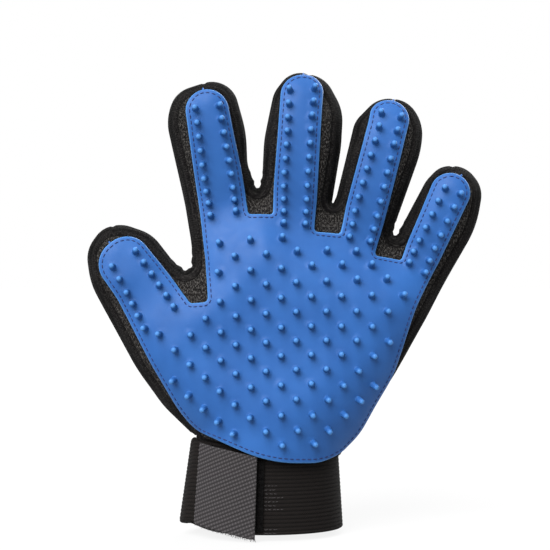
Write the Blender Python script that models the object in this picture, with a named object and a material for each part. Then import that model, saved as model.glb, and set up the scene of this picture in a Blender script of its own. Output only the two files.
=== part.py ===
"""Left-hand pet grooming glove: sewn fabric shell, moulded rubber pad, elastic wrist band with strap.

Frame: the glove stands on its wrist opening. +Z runs from the wrist to the fingertips, the palm
faces -Y and the thumb points to -X. The origin is the centre of the wrist opening's rim.
Sizes are in millimetres and become metres where a mesh is made.
"""
import math

import bpy
import numpy as np
from mathutils import Vector
from mathutils.geometry import delaunay_2d_cdt

MM = 0.001

# Fabric and fits
FABRIC = 1.5            # thickness of the shell panels, the elastic and the strap
TAPE = 1.2              # thickness of the hook tape and the loop tape
GAP = 0.3               # clearance between pieces that touch
SEAM_GAP = 0.45         # clearance between two panels along a seam
PAD_GAP = 0.68          # clearance between the pad and the cloth under it
NEAREST = 2.4           # two arcs of an outline whose ends are this near share one point
WIDEST_STEP = 50.0      # an outline's arcs turn at most this many degrees from point to point
SEAM_INSET = 5.0        # a gusset reaches this far in from the glove's edge, front and back
CREASE = 50.0           # edges sharper than this many degrees are shaded as edges

# Net of the facets
ARC_STEP = 22.5         # an outline's arc turns this many degrees from point to point
EDGE_STEP, PAD_STEP, WRIST_STEP = 9.0, 8.0, 8.0    # spacing along the straight stretches
FINE_STEP, FINE_ARC = 3.0, 7.5                     # the same for the outline the surface is made from
FLAT_INSET = 9.8        # inset of the first row of net points inside the seam
NET_PITCH = 11.0        # spacing of the net points over the flat of a panel
NET_LOW, NET_HIGH = (-90.0, 42.0), (110.0, 230.0)  # the lattice covers this part of the x, z plane
NET_CLEAR = 3.5         # lattice points keep this far from the first row
NET_ABOVE_WRIST = 6.0
NET_TO_RIM, NET_TO_NUB = 1.8, 1.0                  # and this far from the pad's rim and from a nub
WELD = 1e-5
NORMAL_REACH = 0.6      # half the distance over which a slope is measured

# Wrist band: an elliptical tube that flares towards its open rim
BAND_LAP = 7.0          # how far the band runs up inside the shell
BAND_RIM_A, BAND_RIM_B = 39.0, 26.0       # half width and half depth at the rim
BAND_TOP_A, BAND_TOP_B = 35.0, 24.2       # the same at BAND_FLARE_Z
BAND_FLARE_Z = 48.0
BAND_SHIFT = 1.0        # the band leans this far to +X by BAND_FLARE_Z
BAND_COLUMNS, BAND_LEVELS = 44, 4
WRIST_SEAM_Z = 41.0     # height of the seam between shell and band at x = 0
WRIST_SEAM_SLOPE = -0.14

# The hand inside
WRIST_DEPTH = 27.0      # half thickness of the shell at the wrist
PALM_FRONT, PALM_BACK = 20.0, 17.0
FINGER_FRONT, FINGER_BACK = 12.5, 11.5
WRIST_ROUND, PALM_ROUND, FINGER_ROUND = 37.0, 27.0, 14.5    # how far the rounded edge reaches in
KNUCKLE_SLOPE = 0.365   # the finger roots lie on a line that falls towards the little finger
THUMB_ROOT, THUMB_TIP = (-40.0, 98.0), (-76.0, 137.0)
WRIST_ZONE = (52.0, 100.0)      # heights between which the wrist's section becomes the palm's
KNUCKLE_ZONE = (132.0, 172.0)   # the same from palm to fingers, measured along the knuckle slope
THUMB_ZONE = (-4.0, 34.0)       # and from palm to thumb, measured along the thumb
FINGER_BULGE = (1.4, 190.0, 16.0)       # height, place and width of the bulge of the finger pads
PALM_BELLY = (-3.0, 98.0, 30.0)         # the same of the palm's lean to the front
KNUCKLE_LEAN = (3.5, 153.0, 15.0)       # of the dip at the finger roots
TIP_LEAN, TIP_ZONE = 7.0, (205.0, 240.0)        # the fingertips lean back
THUMB_LEAN, THUMB_LEAN_ZONE = 4.0, (0.0, 40.0)  # the thumb leans to the front
THUMB_LEAN_END, THUMB_LEAN_TILT = (120.0, 150.0), 0.4
BELOW_EDGE = (1.5, 80.0)        # the outline runs on below the wrist, this far out and down

# Outline of the shell's edge from the wrist's thumb side round to its little-finger side.
# Each corner is x, z and the radius that rounds it.
GLOVE_EDGE = [
    (-36.2, 46.1, 0), (-50.5, 60.0, 50), (-64.0, 79.0, 100), (-86.6, 121.0, 40), (-89.4, 138.0, 16),
    (-81.5, 148.8, 12), (-71.5, 151.2, 16), (-56.5, 146.0, 20), (-45.5, 132.0, 25), (-37.0, 125.8, 2.5),
    (-36.2, 138.0, 60), (-40.0, 160.0, 90), (-49.5, 203.0, 24), (-44.6, 216.8, 14), (-17.5, 225.8, 13),
    (-9.4, 197.0, 60), (-8.8, 181.0, 16), (-3.5, 166.5, 0.9), (-1.3, 175.5, 14), (-0.5, 193.0, 60),
    (4.4, 217.0, 16), (13.0, 228.6, 14), (30.5, 225.0, 14), (39.2, 208.0, 24), (38.0, 189.0, 60),
    (33.0, 158.6, 0.8), (35.8, 165.0, 10), (45.0, 202.5, 14), (57.0, 215.0, 14), (72.0, 213.9, 14),
    (79.7, 202.0, 20), (78.3, 188.0, 60), (64.2, 148.5, 6), (64.6, 142.8, 1.0), (80.5, 172.6, 14),
    (87.5, 180.0, 11), (100.3, 180.2, 13), (109.0, 169.0, 14), (105.8, 149.8, 60), (63.5, 74.0, 90),
    (54.6, 61.1, 60), (47.0, 47.1, 40), (39.0, 39.2, 8), (38.1, 35.7, 0)]

# Outline of the rubber pad, closed, from the wrist's thumb side over the five strips
PAD_EDGE = [
    (-32.6, 49.8, 40), (-41.0, 59.8, 60), (-54.0, 81.7, 90), (-72.4, 115.3, 60), (-84.6, 132.4, 12.0),
    (-66.8, 148.8, 12.0), (-35.8, 111.2, 2.4), (-27.2, 112.0, 2.4), (-28.3, 132.8, 60), (-39.6, 213.9, 10.0),
    (-20.6, 217.6, 10.0), (-7.9, 154.9, 1.8), (4.0, 154.9, 1.8), (9.2, 223.4, 10.4), (28.8, 224.6, 10.4),
    (24.2, 146.5, 1.8), (37.0, 145.5, 1.8), (55.0, 213.6, 10.2), (72.8, 208.6, 10.2), (53.6, 134.6, 1.8),
    (66.9, 132.2, 1.8), (86.8, 177.8, 10.0), (103.2, 170.1, 10.0), (85.6, 132.8, 90), (72.4, 108.6, 60),
    (61.9, 76.4, 60), (53.6, 62.0, 60), (45.9, 48.0, 40), (36.6, 38.4, 16), (27.0, 34.3, 40),
    (2.0, 35.6, 90)]
PAD_THICKNESS = 1.6
PAD_RIM = 0.7           # width of the rounded rim
PAD_RIM_LOW, PAD_RIM_HIGH = 0.4, 1.1      # height of the rim's lower and upper edge in the sheet

# Nubs of the pad
NUB_BASE, NUB_NECK, NUB_HEIGHT = 1.7, 1.15, 4.3
NUB_NECK_HEIGHT = 3.35
NUB_SIDES = 6
NUB_PITCH_X, NUB_PITCH_Z = 14.5, 7.0      # a row's spacing, and the distance to the next row
NUB_ORIGIN = (22.4, 114.9)
NUB_DROOP, NUB_DROOP_SPAN, NUB_DROOP_POWER = 4.4, 58.0, 1.4     # rows sag towards the thumb
NUB_ROWS, NUB_COLUMNS = range(-5, 13), range(-7, 6)
NUB_FREE = 7.0          # a nub of the palm keeps this far from the nubs of the strips
NUB_EDGE = 6.2          # no nub of the palm comes closer to the pad's edge
NUB_PALM_TOP = 147.0
# Two columns of nubs on each strip: first and last nub of each column, and how many
STRIP_NUBS = [
    (((-74.0, 129.0), (-57.0, 99.5)), 6), (((-63.5, 136.0), (-43.5, 109.0)), 6),
    (((-33.8, 206.5), (-26.3, 154.0)), 9), (((-23.3, 208.0), (-13.8, 156.0)), 9),
    (((12.5, 215.0), (8.6, 150.0)), 11), (((23.5, 216.0), (19.6, 150.0)), 11),
    (((58.0, 203.5), (41.3, 144.0)), 10), (((66.0, 202.0), (51.0, 142.0)), 10),
    (((88.5, 167.5), (70.4, 130.5)), 7), (((95.0, 165.0), (77.2, 126.5)), 7)]

# Strap: a strip of elastic sewn round the band's thumb side, folded there, with a hook tape end.
# Angles run round the band from +X through the back; 180 is the thumb side, 270 the palm side.
FOLD_ANGLE = 181.0
FOLD_GAP = 0.7          # angle left open at the fold
ANCHOR_END = 128.0
ANCHOR_LOW, ANCHOR_HIGH = 4.6, 43.4
TAB_ELASTIC_END = 222.0
HOOK_START_LOW, HOOK_START_HIGH = 207.0, 203.0
HOOK_END = 263.6
TAB_LOW_FOLD, TAB_LOW_END = 5.6, -1.8
TAB_HIGH_FOLD, TAB_HIGH_END = 44.4, 37.8
LOOP_START, LOOP_END = 226.0, 268.5
LOOP_LOW, LOOP_HIGH = 2.0, 36.0
PATCH_STEP, PATCH_ROWS = 6.0, 6         # degrees from column to column, and rows of points

# Name, base colour, roughness and metallic value of each material
RUBBER = ("blue_rubber", (0.045, 0.165, 0.56), 0.42, 0.0)
KNIT = ("black_knit", (0.012, 0.011, 0.012), 0.92, 0.0)
MESH_CLOTH = ("black_mesh", (0.014, 0.014, 0.015), 0.88, 0.0)
ELASTIC = ("black_elastic", (0.010, 0.010, 0.011), 0.85, 0.0)
LOOP = ("black_loop", (0.008, 0.008, 0.009), 0.95, 0.0)
HOOK = ("grey_hook_tape", (0.115, 0.105, 0.11), 0.80, 0.0)


# ---------------------------------------------------------------- outlines

def filleted(corners, closed, step, arc_step=ARC_STEP):
    """Points along a polygon whose corners are rounded; straight stretches get a point per step."""
    count = len(corners)
    points = []
    for i, (x, z, radius) in enumerate(corners):
        here = np.array((x, z))
        if not closed and i in (0, count - 1):
            points.append([here])
            continue
        before = np.array(corners[i - 1][:2]) - here
        after = np.array(corners[(i + 1) % count][:2]) - here
        to_before = before / np.linalg.norm(before)
        to_after = after / np.linalg.norm(after)
        half = 0.5 * math.acos(np.clip(to_before @ to_after, -1.0, 1.0))
        longest = 0.499 * min(np.linalg.norm(before), np.linalg.norm(after))
        reach = min(radius / math.tan(half), longest)
        radius = reach * math.tan(half)
        bisector = to_before + to_after
        centre = here + bisector / np.linalg.norm(bisector) * radius / math.sin(half)
        start = here + to_before * reach - centre
        sweep = math.pi - 2.0 * half
        turn = np.sign(to_after[0] * to_before[1] - to_after[1] * to_before[0])
        coarse = min(WIDEST_STEP, max(arc_step, math.degrees(0.6 * step / radius)))
        pieces = max(1, round(math.degrees(sweep) / coarse))
        arc = []
        for k in range(pieces + 1):
            angle = turn * sweep * k / pieces
            c, s = math.cos(angle), math.sin(angle)
            arc.append(centre + (c * start[0] - s * start[1], s * start[0] + c * start[1]))
        points.append(arc)
    path = []
    for i, arc in enumerate(points):
        path.extend(arc)
        if closed or i + 1 < count:
            following = points[(i + 1) % count]
            span = following[0] - arc[-1]
            pieces = round(np.linalg.norm(span) / step)
            if np.linalg.norm(span) < NEAREST:
                following[0] = path.pop() + span / 2
                if i + 1 == count:
                    path[0] = following[0]
            path.extend(arc[-1] + span * k / pieces for k in range(1, pieces))
    return np.array(path)


def inward(path, closed):
    """Unit vectors to the right of a clockwise path, stretched so that offset sides stay parallel."""
    if closed:
        step_in = path - np.roll(path, 1, axis=0)
        step_out = np.roll(path, -1, axis=0) - path
    else:
        steps = np.diff(path, axis=0)
        step_in = np.vstack((steps[:1], steps))
        step_out = np.vstack((steps, steps[-1:]))
    step_in = step_in / np.linalg.norm(step_in, axis=1)[:, None]
    step_out = step_out / np.linalg.norm(step_out, axis=1)[:, None]
    tangent = step_in + step_out
    tangent /= np.linalg.norm(tangent, axis=1)[:, None]
    stretch = np.clip((tangent * step_in).sum(axis=1), 0.7, 1.0)
    return np.stack((tangent[:, 1], -tangent[:, 0]), axis=1) / stretch[:, None]


def distance_to(path, points):
    """Distance of each point from an open polyline."""
    start, end = path[:-1], path[1:]
    along = end - start
    length2 = (along ** 2).sum(axis=1)
    offset = points[:, None, :] - start[None]
    t = np.clip((offset * along).sum(axis=2) / length2, 0.0, 1.0)
    return np.sqrt(((offset - t[..., None] * along) ** 2).sum(axis=2).min(axis=1))


def inside(path, points):
    """Which points lie inside a closed polyline."""
    x0, z0 = path[:, 0], path[:, 1]
    x1, z1 = np.roll(x0, -1), np.roll(z0, -1)
    px, pz = points[:, :1], points[:, 1:]
    crosses = (z0 > pz) != (z1 > pz)
    with np.errstate(divide="ignore", invalid="ignore"):
        at = (x1 - x0) * (pz - z0) / (z1 - z0) + x0
    return (crosses & (px < at)).sum(axis=1) % 2 == 1


# ---------------------------------------------------------------- the glove's surface

EDGE_FINE = filleted(GLOVE_EDGE, False, FINE_STEP, FINE_ARC)
EDGE_EXTENDED = np.vstack((EDGE_FINE[:1] - BELOW_EDGE, EDGE_FINE,
                           EDGE_FINE[-1:] + (BELOW_EDGE[0], -BELOW_EDGE[1])))
THUMB_AXIS = np.subtract(THUMB_TIP, THUMB_ROOT) / math.dist(THUMB_TIP, THUMB_ROOT)


def smooth(zone, value):
    """Smooth step from 0 to 1 over a zone."""
    t = np.clip((value - zone[0]) / (zone[1] - zone[0]), 0.0, 1.0)
    return t * t * (3.0 - 2.0 * t)


def bell(shape, value):
    """Bell curve of a height, place and width."""
    height, place, width = shape
    return height * np.exp(-((value - place) / width) ** 2)


def mixed(start, end, share):
    """The value a share of the way from start to end."""
    return start + (end - start) * share


def hand_form(x, z):
    """Mid depth, front and back half thickness and edge rounding of the filled glove."""
    knuckle = z + KNUCKLE_SLOPE * x
    thumb = (x - THUMB_ROOT[0]) * THUMB_AXIS[0] + (z - THUMB_ROOT[1]) * THUMB_AXIS[1]
    palm = 1.0 - np.maximum(smooth(KNUCKLE_ZONE, knuckle), smooth(THUMB_ZONE, thumb))
    wrist = 1.0 - smooth(WRIST_ZONE, z)
    front = mixed(FINGER_FRONT, PALM_FRONT, palm) + bell(FINGER_BULGE, knuckle)
    front = mixed(front, WRIST_DEPTH, wrist)
    back = mixed(mixed(FINGER_BACK, PALM_BACK, palm), WRIST_DEPTH, wrist)
    edge = mixed(mixed(FINGER_ROUND, PALM_ROUND, palm), WRIST_ROUND, wrist)
    middle = bell(PALM_BELLY, z) * palm + bell(KNUCKLE_LEAN, knuckle) + TIP_LEAN * smooth(TIP_ZONE, knuckle)
    thumb_side = 1.0 - smooth(THUMB_LEAN_END, knuckle - THUMB_LEAN_TILT * x)
    return middle - THUMB_LEAN * smooth(THUMB_LEAN_ZONE, thumb) * thumb_side, front, back, edge


def surface(points, side):
    """The shell's outer face over points of the x, z plane; side is -1 for the palm, 1 for the back."""
    points = np.asarray(points, float)
    middle, front, back, edge = hand_form(points[:, 0], points[:, 1])
    depth = distance_to(EDGE_EXTENDED, points)
    level = 1.0 - np.clip(depth / edge, 0.0, 1.0)
    bulge = np.sqrt(1.0 - level ** 2)
    y = middle + side * (front if side < 0 else back) * bulge
    return np.stack((points[:, 0], y, points[:, 1]), axis=1)


def surface_normal(points, side):
    """Unit outward normals of the shell's outer face."""
    points = np.asarray(points, float)
    across, up = (NORMAL_REACH, 0.0), (0.0, NORMAL_REACH)
    dx = surface(points + across, side)[:, 1] - surface(points - across, side)[:, 1]
    dz = surface(points + up, side)[:, 1] - surface(points - up, side)[:, 1]
    level = np.full(len(points), 2 * NORMAL_REACH)
    normal = np.stack((-dx, level, -dz), axis=1) * side
    return normal / np.linalg.norm(normal, axis=1)[:, None]


# ---------------------------------------------------------------- mesh helpers

def material(spec):
    """The Principled material of one spec, made once."""
    name, colour, roughness, metallic = spec
    found = bpy.data.materials.get(name)
    if found:
        return found
    made = bpy.data.materials.new(name)
    made.use_nodes = True
    shader = made.node_tree.nodes["Principled BSDF"]
    shader.inputs["Base Color"].default_value = (*colour, 1.0)
    shader.inputs["Roughness"].default_value = roughness
    shader.inputs["Metallic"].default_value = metallic
    made.diffuse_color = (*colour, 1.0)
    return made


def add_object(name, vertices, faces, spec, origin=(0.0, 0.0, 0.0)):
    """A named mesh object from millimetre points, with its own origin."""
    mesh = bpy.data.meshes.new(name)
    local = (np.asarray(vertices, float) - np.asarray(origin, float)) * MM
    mesh.from_pydata([tuple(v) for v in local], [], [tuple(f) for f in faces])
    mesh.materials.append(material(spec))
    mesh.shade_smooth()
    mesh.set_sharp_from_angle(angle=math.radians(CREASE))
    made = bpy.data.objects.new(name, mesh)
    made.location = Vector(origin) * MM
    bpy.context.scene.collection.objects.link(made)
    return made


def closed_sheet(outer, inner, faces):
    """A solid between two faces of the same net: both faces and the walls round every open edge."""
    count = len(outer)
    used = {(face[i], face[(i + 1) % len(face)]) for face in faces for i in range(len(face))}
    solid = [list(face) for face in faces]
    solid += [[v + count for v in reversed(face)] for face in faces]
    solid += [[b, a, a + count, b + count] for a, b in used if (b, a) not in used]
    return np.vstack((outer, inner)), solid


def grid_faces(rows, columns):
    """Quads of a net stored row by row."""
    faces = []
    for r in range(rows - 1):
        for c in range(columns - 1):
            at = r * columns + c
            faces.append([at, at + 1, at + columns + 1, at + columns])
    return faces


def triangulate(loops, loose, holes=()):
    """Triangles of a region bounded by the first loop. Other loops are kept as lines in the net,
    the ones in holes are left open. Returns points, faces and the new index of every input point."""
    points = [Vector(p) for loop in loops for p in loop] + [Vector(p) for p in loose]
    edges = []
    owner = {}
    start = 0
    for number, loop in enumerate(loops):
        count = len(loop)
        edges += [(start + i, start + (i + 1) % count) for i in range(count)]
        owner.update((start + i, number) for i in range(count))
        start += count
    within_constraints = 1
    made, _, faces, origin, _, _ = delaunay_2d_cdt(points, edges, [], within_constraints, WELD)
    index = {old: new for new, olds in enumerate(origin) for old in olds}
    loop_of = {new: owner.get(old) for old, new in index.items()}
    kept = []
    for face in faces:
        touched = {loop_of.get(v) for v in face}
        if len(touched) > 1 or touched.pop() not in holes:
            kept.append(list(face))
    return np.array([tuple(p) for p in made]), kept, index


def honeycomb(low, high, pitch):
    """Points of a triangular lattice over a rectangle."""
    points = []
    row_pitch = pitch * math.sqrt(0.75)
    rows = int((high[1] - low[1]) / row_pitch) + 1
    columns = int((high[0] - low[0]) / pitch) + 1
    for r in range(rows):
        for c in range(columns):
            points.append((low[0] + (c + 0.5 * (r % 2)) * pitch, low[1] + r * row_pitch))
    return np.array(points)


# ---------------------------------------------------------------- shell panels and gussets

EDGE = filleted(GLOVE_EDGE, False, EDGE_STEP)
EDGE_IN = inward(EDGE, False)
SEAM_DIRECTION = np.array((1.0, WRIST_SEAM_SLOPE)) / math.hypot(1.0, WRIST_SEAM_SLOPE)
EDGE_IN[0] = SEAM_DIRECTION
EDGE_IN[-1] = -SEAM_DIRECTION
RIM_INSETS = [SEAM_INSET * (1.0 - math.cos(math.pi / 2 * k / 3.0)) for k in range(4)]


def edge_ring(inset):
    """The glove's edge moved inwards."""
    return EDGE + EDGE_IN * inset


def wrist_line(start, end, step):
    """Points along the slanting wrist seam, without its two ends."""
    pieces = max(2, round(np.linalg.norm(end - start) / step))
    return [start + (end - start) * k / pieces for k in range(1, pieces)]


def panel_loop():
    """The outline of both panels: the seam to the gussets and the wrist seam."""
    ring = edge_ring(SEAM_INSET + SEAM_GAP)
    return list(ring) + wrist_line(ring[-1], ring[0], WRIST_STEP)


def panel_net():
    """Net points inside the seam, shared by the panels and the pad so that their facets agree."""
    net = honeycomb(NET_LOW, NET_HIGH, NET_PITCH)
    net = net[inside(EDGE_EXTENDED, net)]
    net = net[distance_to(EDGE_EXTENDED, net) > FLAT_INSET + NET_CLEAR]
    net = net[net[:, 1] > WRIST_SEAM_Z + WRIST_SEAM_SLOPE * net[:, 0] + NET_ABOVE_WRIST]
    return np.vstack((edge_ring(FLAT_INSET)[1:-1], net))


def add_panel(name, side, spec):
    """The palm or the back of the shell: everything inside the gussets."""
    points, faces, _ = triangulate([panel_loop()], panel_net())
    if side > 0:
        faces = [face[::-1] for face in faces]
    outer = surface(points, side)
    inner = outer - surface_normal(points, side) * FABRIC
    return add_object(name, *closed_sheet(outer, inner, faces), spec)


def rim_rows(path, path_in, insets):
    """Rows of points round the glove's edge, from the palm side's inset to the back side's."""
    rows = []
    for number, inset in enumerate(insets):
        side = -1 if number <= len(insets) // 2 else 1
        rows.append(surface(path + path_in * inset, side))
    return np.array(rows)


def add_gusset(name, first, last, spec):
    """A side strip between palm and back along the part of the edge from point first to point last."""
    before, after = min(first, 1), min(len(EDGE) - 1 - last, 1)
    path = EDGE[first - before:last + 1 + after].copy()
    path_in = EDGE_IN[first - before:last + 1 + after]
    for end, neighbour, met in ((before, before + 1, before), (-1 - after, -2 - after, after)):
        step = path[neighbour] - path[end]
        path[end] += step / np.linalg.norm(step) * met * SEAM_GAP
    insets = [SEAM_INSET + 1.0] + RIM_INSETS[::-1] + RIM_INSETS[1:] + [SEAM_INSET + 1.0]
    outer = rim_rows(path, path_in, insets)
    across = np.gradient(outer, axis=0)
    along = np.gradient(outer, axis=1)
    normal = np.cross(along, across)
    normal /= np.linalg.norm(normal, axis=2)[..., None]
    inner = outer - normal * FABRIC
    kept = slice(before, outer.shape[1] - after)
    outer, inner = outer[1:-1, kept], inner[1:-1, kept]
    rows, columns = outer.shape[:2]
    faces = grid_faces(rows, columns)
    return add_object(name, *closed_sheet(outer.reshape(-1, 3), inner.reshape(-1, 3), faces), spec)


def tip_index(corner_before, corner_after):
    """The point of the edge that lies furthest out between two corners of a fingertip."""
    middle = (np.array(GLOVE_EDGE[corner_before][:2]) + np.array(GLOVE_EDGE[corner_after][:2])) / 2
    return int(np.linalg.norm(EDGE - middle, axis=1).argmin())


def add_gussets():
    """Six side strips that meet at the five fingertips."""
    tips = [0, tip_index(5, 6), tip_index(13, 14), tip_index(21, 22), tip_index(28, 29),
            tip_index(35, 36), len(EDGE) - 1]
    names = ["thumb_side_panel", "gusset_thumb_index", "gusset_index_middle", "gusset_middle_ring",
             "gusset_ring_little", "little_side_panel"]
    for name, first, last in zip(names, tips, tips[1:]):
        add_gusset(name, first, last, KNIT)


# ---------------------------------------------------------------- rubber pad

def nub_centres(pad_loop):
    """Centres of all nubs: two columns on each strip and staggered rows over the palm."""
    centres = []
    for (first, last), count in STRIP_NUBS:
        for k in range(count):
            centres.append(np.array(first) + (np.array(last) - np.array(first)) * k / (count - 1))
    strips = np.array(centres)
    for row in NUB_ROWS:
        for column in NUB_COLUMNS:
            x = NUB_ORIGIN[0] + (column + 0.5 * (row % 2)) * NUB_PITCH_X
            z = NUB_ORIGIN[1] - row * NUB_PITCH_Z
            z -= NUB_DROOP * min(1.0, max(0.0, (NUB_ORIGIN[0] - x) / NUB_DROOP_SPAN)) ** NUB_DROOP_POWER
            point = np.array([(x, z)])
            clear = distance_to(np.vstack((pad_loop, pad_loop[:1])), point)[0] > NUB_EDGE
            free = np.linalg.norm(strips - point, axis=1).min() > NUB_FREE
            if clear and free and z < NUB_PALM_TOP and inside(pad_loop, point)[0]:
                centres.append(point[0])
    return np.array(centres)


def add_pad():
    """One moulded sheet with a rounded rim, and a tapered nub at every centre."""
    rim = filleted(PAD_EDGE, True, PAD_STEP)
    rim_in = inward(rim, True)
    crown = rim + rim_in * PAD_RIM
    centres = nub_centres(rim)
    turn = [2.0 * math.pi * k / NUB_SIDES for k in range(NUB_SIDES)]
    circle = np.array([(math.cos(a), math.sin(a)) for a in turn])
    rings = [centre + circle * NUB_BASE for centre in centres]
    loops = [rim, crown] + rings
    net = [edge_ring(inset)[1:-1] for inset in RIM_INSETS[1:]]
    net = np.vstack(net + [panel_loop()[len(EDGE):], panel_net()])
    net = net[inside(crown, net)]
    net = net[distance_to(np.vstack((rim, rim[:1])), net) > NET_TO_RIM]
    apart = np.linalg.norm(net[:, None] - centres[None], axis=2).min(axis=1)
    flat, faces, index = triangulate(loops, net[apart > NUB_BASE + NET_TO_NUB], holes=range(2, len(loops)))

    normal = surface_normal(flat, -1)
    height = np.full(len(flat), PAD_GAP + PAD_THICKNESS)
    rim_index = [index[i] for i in range(len(rim))]
    height[rim_index] = PAD_GAP + PAD_RIM_HIGH
    top = surface(flat, -1) + normal * height[:, None]
    vertices = [tuple(v) for v in top]

    for number, centre in enumerate(centres):
        first = 2 * len(rim) + number * NUB_SIDES
        base = [index[first + k] for k in range(NUB_SIDES)]
        middle = top[base].mean(axis=0)
        axis = surface_normal([centre], -1)[0]
        neck = len(vertices)
        for k in base:
            vertices.append(tuple(middle + (top[k] - middle) * NUB_NECK / NUB_BASE + axis * NUB_NECK_HEIGHT))
        vertices.append(tuple(middle + axis * NUB_HEIGHT))
        for k in range(NUB_SIDES):
            after = (k + 1) % NUB_SIDES
            faces.append([base[k], base[after], neck + after, neck + k])
            faces.append([neck + k, neck + after, neck + NUB_SIDES])

    under, under_faces, under_index = triangulate([rim], net)
    height = np.full(len(under), PAD_GAP)
    height[[under_index[i] for i in range(len(rim))]] = PAD_GAP + PAD_RIM_LOW
    under_points = surface(under, -1) + surface_normal(under, -1) * height[:, None]
    start = len(vertices)
    vertices += [tuple(v) for v in under_points]
    faces += [[start + v for v in reversed(face)] for face in under_faces]
    for i in range(len(rim)):
        j = (i + 1) % len(rim)
        faces.append([rim_index[i], rim_index[j], start + under_index[j], start + under_index[i]])
    signed = sum(rim[i][0] * rim[i - 1][1] - rim[i - 1][0] * rim[i][1] for i in range(len(rim)))
    if signed < 0:
        walls = faces[-len(rim):]
        faces[-len(rim):] = [wall[::-1] for wall in walls]
    return add_object("rubber_pad", vertices, faces, RUBBER)


# ---------------------------------------------------------------- wrist band and strap

def band_point(angle, z, offset):
    """A point offset outwards from the band's outer face, at an angle round it and a height."""
    share = z / BAND_FLARE_Z
    a = BAND_RIM_A + (BAND_TOP_A - BAND_RIM_A) * share + offset
    b = BAND_RIM_B + (BAND_TOP_B - BAND_RIM_B) * share + offset
    x = BAND_SHIFT * share + a * math.cos(math.radians(angle))
    return np.array((x, b * math.sin(math.radians(angle)), z))


def add_band():
    """The elastic tube: a flat rim below, its upper edge follows the wrist seam inside the shell."""
    outer, inner = [], []
    for level in range(BAND_LEVELS + 1):
        for k in range(BAND_COLUMNS):
            angle = 360.0 * k / BAND_COLUMNS
            x = BAND_TOP_A * math.cos(math.radians(angle))
            top = WRIST_SEAM_Z + WRIST_SEAM_SLOPE * x + BAND_LAP
            z = top * level / BAND_LEVELS
            outer.append(band_point(angle, z, 0.0))
            inner.append(band_point(angle, z, -FABRIC))
    faces = []
    for level in range(BAND_LEVELS):
        for k in range(BAND_COLUMNS):
            at, after = level * BAND_COLUMNS + k, level * BAND_COLUMNS + (k + 1) % BAND_COLUMNS
            faces.append([at, after, after + BAND_COLUMNS, at + BAND_COLUMNS])
    return add_object("wrist_band", *closed_sheet(np.array(outer), np.array(inner), faces), ELASTIC)


def add_patch(name, angles, lows, highs, inner_offset, thickness, spec, origin=(0.0, 0.0, 0.0)):
    """A strip laid on the band between two angles; every bound is given at both of its ends."""
    columns = max(2, round(abs(angles[1][0] - angles[0][0]) / PATCH_STEP)) + 1
    outer, inner = [], []
    for r in range(PATCH_ROWS):
        up = r / (PATCH_ROWS - 1)
        first = angles[0][0] + (angles[0][1] - angles[0][0]) * up
        last = angles[1][0] + (angles[1][1] - angles[1][0]) * up
        for c in range(columns):
            share = c / (columns - 1)
            angle = first + (last - first) * share
            low = lows[0] + (lows[1] - lows[0]) * share
            high = highs[0] + (highs[1] - highs[0]) * share
            z = low + (high - low) * up
            inner.append(band_point(angle, z, inner_offset))
            outer.append(band_point(angle, z, inner_offset + thickness))
    faces = grid_faces(PATCH_ROWS, columns)
    if last < first:
        faces = [face[::-1] for face in faces]
    return add_object(name, *closed_sheet(np.array(outer), np.array(inner), faces), spec, origin)


def add_strap():
    """The anchored end, the loop tape, and the tab and hook tape that swing on the fold."""
    fold = band_point(FOLD_ANGLE, 0.0, GAP + FABRIC)
    add_patch("strap_anchor", ((ANCHOR_END,) * 2, (FOLD_ANGLE - FOLD_GAP,) * 2), (ANCHOR_LOW,) * 2,
              (ANCHOR_HIGH,) * 2, GAP, FABRIC, ELASTIC)
    add_patch("loop_tape", ((LOOP_START,) * 2, (LOOP_END,) * 2), (LOOP_LOW,) * 2,
              (LOOP_HIGH,) * 2, GAP, TAPE, LOOP)
    share = (TAB_ELASTIC_END - FOLD_ANGLE) / (HOOK_END - FOLD_ANGLE)
    add_patch("strap_tab", ((FOLD_ANGLE,) * 2, (TAB_ELASTIC_END,) * 2),
              (TAB_LOW_FOLD, TAB_LOW_FOLD + (TAB_LOW_END - TAB_LOW_FOLD) * share),
              (TAB_HIGH_FOLD, TAB_HIGH_FOLD + (TAB_HIGH_END - TAB_HIGH_FOLD) * share),
              GAP, FABRIC, ELASTIC, fold)
    share = (HOOK_START_LOW - FOLD_ANGLE) / (HOOK_END - FOLD_ANGLE)
    add_patch("hook_tape", ((HOOK_START_LOW, HOOK_START_HIGH), (HOOK_END,) * 2),
              (TAB_LOW_FOLD + (TAB_LOW_END - TAB_LOW_FOLD) * share, TAB_LOW_END),
              (TAB_HIGH_FOLD + (TAB_HIGH_END - TAB_HIGH_FOLD) * share, TAB_HIGH_END),
              2 * GAP + FABRIC, TAPE, HOOK, fold)


def main():
    """Build the glove in an emptied scene."""
    for old in list(bpy.data.objects):
        bpy.data.objects.remove(old, do_unlink=True)
    add_panel("palm_panel", -1, KNIT)
    add_panel("back_panel", 1, MESH_CLOTH)
    add_gussets()
    add_pad()
    add_band()
    add_strap()


main()
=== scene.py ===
"""Looks of the left-hand pet grooming glove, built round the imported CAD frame.

Lengths are millimetres in the row frame until a mesh is made: +Z runs from the wrist opening to the
fingertips, the palm faces -Y and the thumb points to -X.
"""
import math

import bpy
import numpy as np
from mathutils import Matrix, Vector
from mathutils.geometry import delaunay_2d_cdt


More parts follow.
